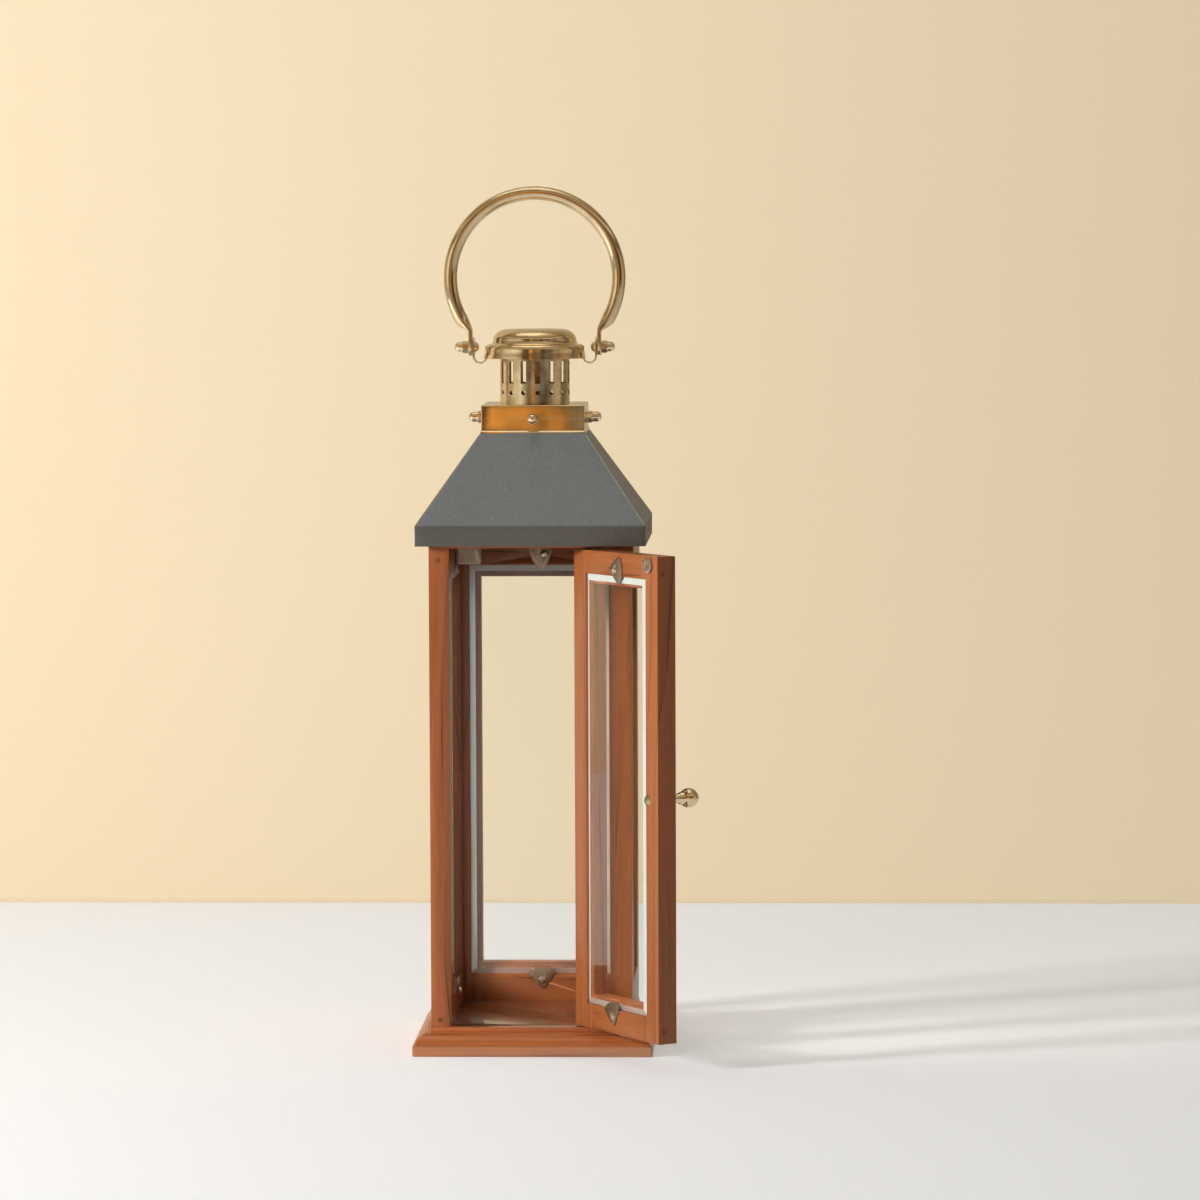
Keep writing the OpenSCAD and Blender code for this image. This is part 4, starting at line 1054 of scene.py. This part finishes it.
def button_screw_places(names):
    """Where the turn buttons' screw heads sit, with their direction out of the wood."""
    places = []
    for name, spin in zip(names, (25, 70, 115, 40, 155, 8)):
        joint = JOINTS[name + "_turn"]
        aim = Vector(joint["axis"]).normalized()
        places.append((Vector(joint["pos_m"]) + aim * CLIP_THICK, aim, spin))
    return places


class LANTERN_OT_screws(bpy.types.Operator):
    """Screws of the turn buttons, the knob, the strike, the catch and the hood"""
    bl_idname = "lantern.screws"
    bl_label = "Screws"

    def execute(self, context):
        small = screw_head_shape(6.4 * MM, 2.2 * MM, 0.8 * MM, 0.7 * MM)
        sets = (("frame_screw_heads", "root", BUTTONS[:6], "frame_clip_screws"),
                ("door_screw_heads", "door", BUTTONS[6:], "door_clip_screws"))
        for name, body, buttons, node in sets:
            heads = place_fasteners(name, small, button_screw_places(buttons), FINISHES["screw"])
            finish(heads, None, "screw_steel", body, node)
        bpy.data.objects.remove(small)
        dress_nodes(FINISHES["screw"], "strike_screw", "catch_screws")
        dress_nodes(FINISHES["tube_brass"], "knob_screw")
        dress_nodes(FINISHES["hood_screw"], "hood_screws")
        return {"FINISHED"}


class LANTERN_OT_catch(bpy.types.Operator):
    """The magnetic catch under the header and the strike on the door"""
    bl_idname = "lantern.catch"
    bl_label = "Catch and strike"

    def execute(self, context):
        arris = 0.25 * MM
        rounded_copy("catch_body", "catch_housing", arris, 40, FINISHES["catch"], "catch_metal", "root")
        rounded_copy("strike_plate", "strike_disc", arris, 50, FINISHES["strike"], "screw_steel", "door")
        dress_nodes(FINISHES["catch"], "catch_magnet")
        return {"FINISHED"}


class LANTERN_OT_knob(bpy.types.Operator):
    """The turned brass knob of the door"""
    bl_idname = "lantern.knob"
    bl_label = "Door knob"

    def execute(self, context):
        ball, reach = 7.2 * MM, 19.8 * MM
        profile = in_mm(
            (0, 0), (6.0, 0), (6.4, 0.3), (6.4, 1.1), (6.0, 1.6), (4.6, 2.2), (3.4, 3.4), (2.8, 5.2),
            (2.75, 7.2), (3.1, 9.4), (3.9, 11.2), (4.5, 12.3))
        profile += arc((0, reach), ball, -50, 86, 24) + [(0, reach + ball)]
        knob = turned("knob", profile, 64)
        place(knob, OPEN_DOOR @ Matrix.Translation(knob_foot()) @ Matrix.Rotation(math.pi / 2, 4, "X"))
        finish(smooth(knob, 50), FINISHES["brass"], "nut_brass", "door", "door_knob")
        return {"FINISHED"}


def knob_foot():
    """The middle of the knob's foot on the shut door's outer face."""
    points = [SHUT_DOOR @ v.co for v in NODES["door_knob"].data.vertices]
    least, most = ([pick(p[i] for p in points) for i in range(3)] for pick in (min, max))
    return Vector(((least[0] + most[0]) / 2, most[1], (least[2] + most[2]) / 2))


class LANTERN_OT_hood(bpy.types.Operator):
    """The hipped sheet-metal hood, with its worn bright hips"""
    bl_idname = "lantern.hood"
    bl_label = "Hood"

    def execute(self, context):
        dent, edge, throat = context.scene.lantern_hood.dent, HOOD_EDGE, NECK_HALF - 3 * MM
        sheet, foot_z, skirt_tall = 1.0 * MM, SKIRT_LOW + 0.15 * MM, FOLD_Z - SKIRT_LOW
        fold = Vector((edge - 0.75 * MM, 0.6 * MM, FOLD_Z + 0.65 * MM))
        neck = Vector((NECK_HALF, 0.6 * MM, NECK_Z))
        levels = [(edge, 0.5 * MM, foot_z)]
        for i in range(4):
            levels.append((edge, 0.5 * MM, SKIRT_LOW + 3 * MM + (skirt_tall - 3.8 * MM) * i / 3))
        levels.append((edge - 0.15 * MM, 0.55 * MM, FOLD_Z - 0.2 * MM))
        levels += [tuple(fold.lerp(neck, i / 22)) for i in range(23)]
        slope = (NECK_Z - FOLD_Z) / (edge - NECK_HALF)
        inner_fold = FOLD_Z - 0.3 * MM
        levels += [(throat, 0.3 * MM, NECK_Z),
                   (throat, 0.3 * MM, inner_fold + slope * (edge - sheet - throat) * 0.985),
                   (edge - sheet, 0.3 * MM, inner_fold), (edge - sheet, 0.3 * MM, foot_z)]
        hood = square_loft("hood_sheet", levels, 28, 3)
        for vertex in hood.data.vertices:
            p = vertex.co
            wide = max(abs(p.x), abs(p.y))
            if FOLD_Z + 2 * MM < p.z < NECK_Z - 2 * MM:
                near_hip = min(1.0, (wide - min(abs(p.x), abs(p.y))) / (14 * MM))
                wave = noise.noise(p * 26) + 0.5 * noise.noise(p * 61 + Vector((3, 1, 7)))
                p.z -= dent * 1.6 * abs(wave) * near_hip
            elif p.z < FOLD_Z - 1 * MM and wide > edge - 0.3 * MM:
                wave = 0.5 + 0.5 * noise.noise(p * 33 + Vector((9, 2, 0)))
                axis = 0 if abs(p.x) > abs(p.y) else 1
                p[axis] -= math.copysign(dent * wave, p[axis])
        finish(smooth(hood, 28), FINISHES["paint"], "hood_sheet", "root", "hood")

        steps, points, edges = 14, [], []
        for x, y in ((-1, -1), (-1, 1), (1, -1), (1, 1)):
            foot = Vector((x * (edge - 0.7 * MM), y * (edge - 0.7 * MM), FOLD_Z - 0.05 * MM))
            head = Vector((x * (NECK_HALF + 0.9 * MM), y * (NECK_HALF + 0.9 * MM), NECK_Z - 1.9 * MM))
            edges += [(len(points) + i, len(points) + i + 1) for i in range(steps)]
            points += [foot.lerp(head, i / steps) for i in range(steps + 1)]
        hips = object_of_points("hood_hips", points, edges=edges)
        run_tree(hips, TREES["beads"], Radius=0.62 * MM, Sides=10, Finish=FINISHES["worn"])
        outwards(hips)
        finish(smooth(hips, 60), None, "hood_sheet", "root")
        return {"FINISHED"}


class LANTERN_OT_collar(bpy.types.Operator):
    """The square collar with its folded rim and its top plate"""
    bl_idname = "lantern.collar"
    bl_label = "Collar"

    def execute(self, context):
        half, top, hole, wall = NECK_HALF, high("collar").z, 25.9 * MM, 0.9 * MM
        skin = in_mm((37.25, 0.5, 456.4), (38.7, 0.8, 456.3), (38.95, 0.9, 456.6), (38.95, 0.9, 457.6),
                     (38.65, 0.9, 457.95), (38.3, 0.9, 458.2), (38.15, 0.9, 458.6))
        skin.append((half, 0.9 * MM, (NECK_Z + top) / 2))
        skin += [(half - back, corner, top - down) for back, corner, down in in_mm(
            (0, 0.9, 1.0), (0.2, 1.0, 0.45), (0.6, 1.1, 0.1), (1.1, 1.2, 0))]
        skin += [(hole + 4 * MM, hole + 4 * MM, top), (hole, hole, top), (hole, hole, top - wall),
                 (half - wall, 0.5 * MM, top - wall)]
        collar = square_loft("collar_sheet", skin, 8, 8)
        finish(smooth(collar), FINISHES["sheet_brass"], "polished_brass", "root", "collar")
        return {"FINISHED"}


class LANTERN_OT_nuts(bpy.types.Operator):
    """Domed cap nuts and the bolts that they hold"""
    bl_idname = "lantern.nuts"
    bl_label = "Cap nuts and bolts"

    def execute(self, context):
        bolt_z, ear = middle("collar_bolts").z, 49.7 * MM
        on_collar = [(aim * NECK_HALF + Z * bolt_z, aim, turn)
                     for aim, turn in ((X, 12), (-X, 34), (Y, 50), (-Y, 8))]
        on_bail = [(Vector((side * ear, 0, PIVOT.z)), X * side, turn) for side, turn in ((1, 20), (-1, 41))]
        for name, node, places, reach in (
                ("collar_nuts", "collar_cap_nuts", on_collar, 11.4 * MM),
                ("bail_nuts", "bail_cap_nuts", on_bail, high("bail_cap_nuts").x - ear)):
            nut = cap_nut_shape(reach)
            nuts = place_fasteners(name, nut, places, FINISHES["nut_brass"])
            finish(nuts, None, "nut_brass", "root", node)
            bpy.data.objects.remove(nut)
        dress_nodes(FINISHES["nut_brass"], "bail_bolts", "collar_bolts")
        return {"FINISHED"}


class LANTERN_OT_chimney(bpy.types.Operator):
    """The slotted chimney tube with its foot flange"""
    bl_idname = "lantern.chimney"
    bl_label = "Chimney"

    def execute(self, context):
        places = context.scene.lantern_metal.panel_count
        wall = (25.8 * MM, TUBE_FOOT_Z, high("chimney_tube").z, math.pi / places)
        slot, vent = in_mm((2.1, 492.6, 509.1), (485.8, 1.7))
        tube = chimney_panel(*wall, slot, vent)
        tube.name = tube.data.name = "chimney"
        plain = chimney_panel(*wall)
        run_tree(tube, TREES["chimney"], Panels=places, Seam=7, First_turn=math.radians(7.2),
                 Plain_panel=plain, Finish=FINISHES["tube_brass"])
        bpy.data.objects.remove(plain)
        thick = tube.modifiers.new("wall", "SOLIDIFY")
        thick.thickness, thick.offset, thick.use_even_offset = 0.8 * MM, -1.0, True
        keep_modifiers(tube)
        finish(smooth(tube, 40), FINISHES["tube_brass"], "polished_brass", "root", "chimney_tube")

        low_z = low("chimney_tube").z
        rim = [(25.0 * MM, low_z), (28.6 * MM, low_z), (29.0 * MM, low_z + 0.3 * MM)]
        rim += in_mm((29.0, 476.4), (26.0, 476.45), (25.85, 477.6), (25.0, 477.6))
        flange = turned("chimney_flange", rim)
        finish(smooth(flange, 40), FINISHES["tube_brass"], "polished_brass", "root")
        return {"FINISHED"}


class LANTERN_OT_cap(bpy.types.Operator):
    """The pressed round cap, with a turned brim and a hollow dome"""
    bl_idname = "lantern.cap"
    bl_label = "Cap"

    def execute(self, context):
        def bow(r, z, wide, tall, start, end, steps):
            """An elliptical arc round (r, z)."""
            return [(r + wide * x, z + tall * y) for x, y in arc((0, 0), 1, start, end, steps)]

        brim, lip, dome = (33.2, 517.5), (33.1, 523.3), (19.8, 524.3)
        skin = [(37.7, 510.9), (38.0, 511.1), (37.95, 511.6), (37.2, 514.3), (36.8, 516.9)]
        skin += bow(*brim, 3.55, 3.9, 8, 88, 9) + bow(*lip, 1.9, 1.9, 268, 185, 7) + [(30.9, 524.1)]
        skin += bow(*dome, 11.0, 8.3, 4, 88, 18) + [(16, 532.54), (11, 532.3), (6, 532.1), (0, 532.02)]
        under = [(0, 531.22), (11, 531.5)] + bow(*dome, 10.2, 7.5, 88, 4, 14)
        under += bow(*lip, 2.7, 2.7, 190, 266, 6) + bow(*brim, 2.75, 3.1, 86, 4, 8)
        under += [(36.1, 514.3), (36.9, 511.1), (37.2, 510.9)]
        cap = turned("cap_shell", in_mm(*skin, *under), 128)
        finish(smooth(cap, 40), FINISHES["cap_brass"], "polished_brass", "root", "cap")
        return {"FINISHED"}


class LANTERN_OT_strap(bpy.types.Operator):
    """The strap under the cap that carries the bail"""
    bl_idname = "lantern.strap"
    bl_label = "Strap"

    def execute(self, context):
        rounded_copy("bail_strap", "handle_strap", 0.2 * MM, 50, FINISHES["brass"], "polished_brass",
                     "root", 30)
        return {"FINISHED"}


class LANTERN_OT_bail(bpy.types.Operator):
    """The ring bail: a round bar drawn down to a flat tongue at each end"""
    bl_idname = "lantern.bail"
    bl_label = "Bail"

    def execute(self, context):
        ring_r, rise, start = 62.7 * MM, 51.4 * MM, -math.radians(29)
        bar, tongue_t, tongue_w, tongue_x, tongue_up = 10 * MM, 3.2 * MM, 13 * MM, 47.9 * MM, 11 * MM
        centre = PIVOT + Z * rise

        def ring(a):
            return centre + Vector((math.cos(a), 0, math.sin(a))) * ring_r

        side = []
        for z in (-6.45, -6.2, -5.6, -4.6, -3.2, -1.6, 0, 4, 8, 10):
            wide = math.sqrt(tongue_w ** 2 - (2 * z * MM) ** 2) if z < 0 else tongue_w
            side.append((Vector((tongue_x, 0, PIVOT.z + z * MM)), X, tongue_t, wide, 5.0))
        p0, p3 = Vector((tongue_x, 0, PIVOT.z + tongue_up)), ring(start)
        p1, p2 = p0 + Z * 3 * MM, p3 - Vector((-math.sin(start), 0, math.cos(start))) * 3.5 * MM
        for i in range(10):
            t = i / 10
            rest, ease = 1 - t, t * t * (3 - 2 * t)
            spot = p0 * rest ** 3 + p1 * 3 * t * rest ** 2 + p2 * 3 * t * t * rest + p3 * t ** 3
            heading = (p1 - p0) * rest ** 2 + (p2 - p1) * 2 * t * rest + (p3 - p2) * t * t
            heading.normalize()
            side.append((spot, Vector((heading.z, 0, -heading.x)), tongue_t + (bar - tongue_t) * ease,
                         tongue_w + (bar - tongue_w) * ease, 5.0 - 3.0 * min(1.0, 1.4 * ease)))
        stations, turns = list(side), 80
        for i in range(turns + 1):
            a = start + (math.pi - 2 * start) * i / turns
            stations.append((ring(a), Vector((math.cos(a), 0, math.sin(a))), bar, bar, 2.0))
        for spot, out, thick, wide, square in reversed(side):
            stations.append((Vector((-spot.x, 0, spot.z)), Vector((-out.x, 0, out.z)), thick, wide, square))
        bail = swept_bar("bail_ring", stations, 36)
        finish(smooth(bail, 50), FINISHES["bail_brass"], "polished_brass", "bail", "bail")
        return {"FINISHED"}


def lamp(name, spot, size, power, tint):
    """A soft square lamp aimed at the middle of the lantern."""
    data = bpy.data.lights.new(name, "AREA")
    data.shape, data.size, data.size_y = "RECTANGLE", size, size
    data.energy, data.color = power, tint
    made = new_object(name, data)
    away = (Vector(spot) - LAMPS_AIM).to_track_quat("Z", "Y")
    made.matrix_world = Matrix.Translation(spot) @ away.to_matrix().to_4x4()
    return made


def seen_directly(tree, mirrored=0.0):
    """1 for rays that see a surface straight or through glass, and a share for those from a mirror."""
    path = tree.nodes.new("ShaderNodeLightPath")
    straight = maths(tree, "MAXIMUM", path.outputs["Is Camera Ray"], path.outputs["Is Transmission Ray"])
    return maths(tree, "MAXIMUM", straight, times(tree, path.outputs["Is Glossy Ray"], mirrored))


def stage_material(name, tone, glow, mirrored=0.0, one_sided=False):
    """A plain matt surface that also shows a share of its own colour."""
    made, tree, shader = material_named(name)
    fill(tree, shader, {"Base Color": tone, "Roughness": 0.9, "Specular IOR Level": 0.1})
    light = add(tree, "ShaderNodeEmission", {0: tone, 1: times(tree, seen_directly(tree, mirrored), glow)})
    both = add(tree, "ShaderNodeAddShader", {0: shader.outputs[0], 1: light})
    if one_sided:
        behind = add(tree, "ShaderNodeNewGeometry", output=6)
        see_through = add(tree, "ShaderNodeBsdfTransparent")
        both = add(tree, "ShaderNodeMixShader", {0: behind, 1: both, 2: see_through})
    show(tree, both)
    return made


class LANTERN_OT_stage(bpy.types.Operator):
    """Pale floor, plain wall, soft lamps and the surroundings that the metal mirrors"""
    bl_idname = "lantern.stage"
    bl_label = "Stage"

    def execute(self, context):
        look = context.scene.lantern_stage
        back, near, wide = look.wall_back, -7, 5.0
        corners = [(-wide, near, 0), (wide, near, 0), (wide, back, 0), (-wide, back, 0)]
        floor = object_of_points("stage_floor", corners, [(0, 1, 2, 3)])
        floor.data.materials.append(stage_material("stage floor", look.floor, glow=0.33, mirrored=1.0))
        rounded_foot = ((0, 0), (0.004, 0.0006), (0.007, 0.003), (0.008, 0.008), (0.008, 4))
        points = [(x, back + y, z) for y, z in rounded_foot for x in (-wide, wide)]
        faces = [(2 * i, 2 * i + 1, 2 * i + 3, 2 * i + 2) for i in range(len(rounded_foot) - 1)]
        wall = object_of_points("stage_wall", points, faces)
        wall.data.materials.append(stage_material("stage wall", look.wall, glow=0.4, one_sided=True))

        key = lamp("key", (-2.16, -1.22, 0.92), 0.36, look.key_power, LAMP_TINT)
        key.visible_glossy = False
        lamp("fill", (1.9, -2.2, 1.9), 1.6, look.fill_power, LAMP_TINT)
        lamp("top", (-0.3, 0.1, 2.6), 1.6, look.fill_power * 5, TOP_TINT)

        world = bpy.data.worlds.new("surroundings")
        context.scene.world = world
        world.use_nodes = True
        tree = world.node_tree
        tree.nodes.clear()
        tree.nodes.new("ShaderNodeOutputWorld")
        axes = tree.nodes.new("ShaderNodeSeparateXYZ")
        tree.links.new(add(tree, "ShaderNodeTexCoord", output=0), axes.inputs[0])
        height, front = axes.outputs[2], times(tree, axes.outputs[1], -1.0)
        round_about = ramp(tree, span(tree, axes.outputs[0], -1.0, 1.0), (
            (0.0, (0.50, 0.40, 0.27)), (1.0, (0.56, 0.46, 0.32)), (0.05, (0.90, 0.83, 0.68)),
            (0.15, (1.10, 1.04, 0.90)), (0.24, (0.84, 0.75, 0.58)), (0.30, (0.18, 0.11, 0.05)),
            (0.385, (0.07, 0.04, 0.018)), (0.435, (0.98, 0.47, 0.11)), (0.465, (0.78, 0.35, 0.08)),
            (0.497, (0.30, 0.16, 0.06)), (0.54, (0.30, 0.21, 0.13)), (0.60, (0.34, 0.26, 0.18)),
            (0.66, (0.09, 0.055, 0.03)), (0.80, (0.05, 0.032, 0.018)), (0.90, (0.34, 0.26, 0.17))))
        over = ramp(tree, height, (
            (0.0, (0.66, 0.57, 0.42)), (1.0, (0.86, 0.80, 0.66)), (0.16, (0.56, 0.46, 0.31)),
            (0.26, (0.24, 0.16, 0.085)), (0.36, (0.10, 0.062, 0.03)), (0.52, (0.70, 0.62, 0.46)),
            (0.64, (0.30, 0.22, 0.12)), (0.8, (0.40, 0.31, 0.19))))
        level = times(tree, span(tree, maths(tree, "ABSOLUTE", height), 0.44, 0.2),
                      span(tree, front, -0.2, 0.2))
        mirror = tree.nodes.new("ShaderNodeLightPath").outputs["Is Glossy Ray"]
        straight = seen_directly(tree)
        tint = layered(tree, LAMP_TINT, (mirror, between(tree, level, over, round_about)),
                       (straight, look.surround))
        plain = times(tree, maths(tree, "MAXIMUM", mirror, straight), 1.0 - look.world_light)
        strength = maths(tree, "ADD", look.world_light, plain)
        show(tree, add(tree, "ShaderNodeBackground", {0: tint, 1: strength}))
        return {"FINISHED"}


STEPS = (
    LANTERN_OT_camera, LANTERN_OT_trees, LANTERN_OT_base, LANTERN_OT_frame, LANTERN_OT_door,
    LANTERN_OT_panes, LANTERN_OT_buttons, LANTERN_OT_screws, LANTERN_OT_catch, LANTERN_OT_knob,
    LANTERN_OT_hood, LANTERN_OT_collar, LANTERN_OT_nuts, LANTERN_OT_chimney, LANTERN_OT_cap,
    LANTERN_OT_strap, LANTERN_OT_bail, LANTERN_OT_stage,
)
SETTINGS = {
    "lantern_wood": WoodSettings, "lantern_metal": MetalSettings, "lantern_hood": HoodSettings,
    "lantern_glass": GlassSettings, "lantern_stage": StageSettings,
}


class LANTERN_PT_panel(bpy.types.Panel):
    """Lists the lantern's settings and pieces"""
    bl_idname = "LANTERN_PT_panel"
    bl_label = "Candle lantern"
    bl_space_type = "VIEW_3D"
    bl_region_type = "UI"
    bl_category = "Lantern"

    def draw(self, context):
        for name, kind in SETTINGS.items():
            box = self.layout.box()
            box.label(text=kind.__doc__)
            for label in kind.__annotations__:
                box.prop(getattr(context.scene, name), label)
        column = self.layout.column(align=True)
        for step in STEPS:
            column.operator(step.bl_idname)


def register():
    for kind in (*SETTINGS.values(), *STEPS, LANTERN_PT_panel):
        bpy.utils.register_class(kind)
    for name, kind in SETTINGS.items():
        setattr(bpy.types.Scene, name, PointerProperty(type=kind))


def unregister():
    for name in SETTINGS:
        delattr(bpy.types.Scene, name)
    for kind in reversed((*SETTINGS.values(), *STEPS, LANTERN_PT_panel)):
        bpy.utils.unregister_class(kind)


def main():
    register()
    for step in STEPS:
        group, name = step.bl_idname.split(".")
        getattr(getattr(bpy.ops, group), name)()


if __name__ == "__main__":
    main()
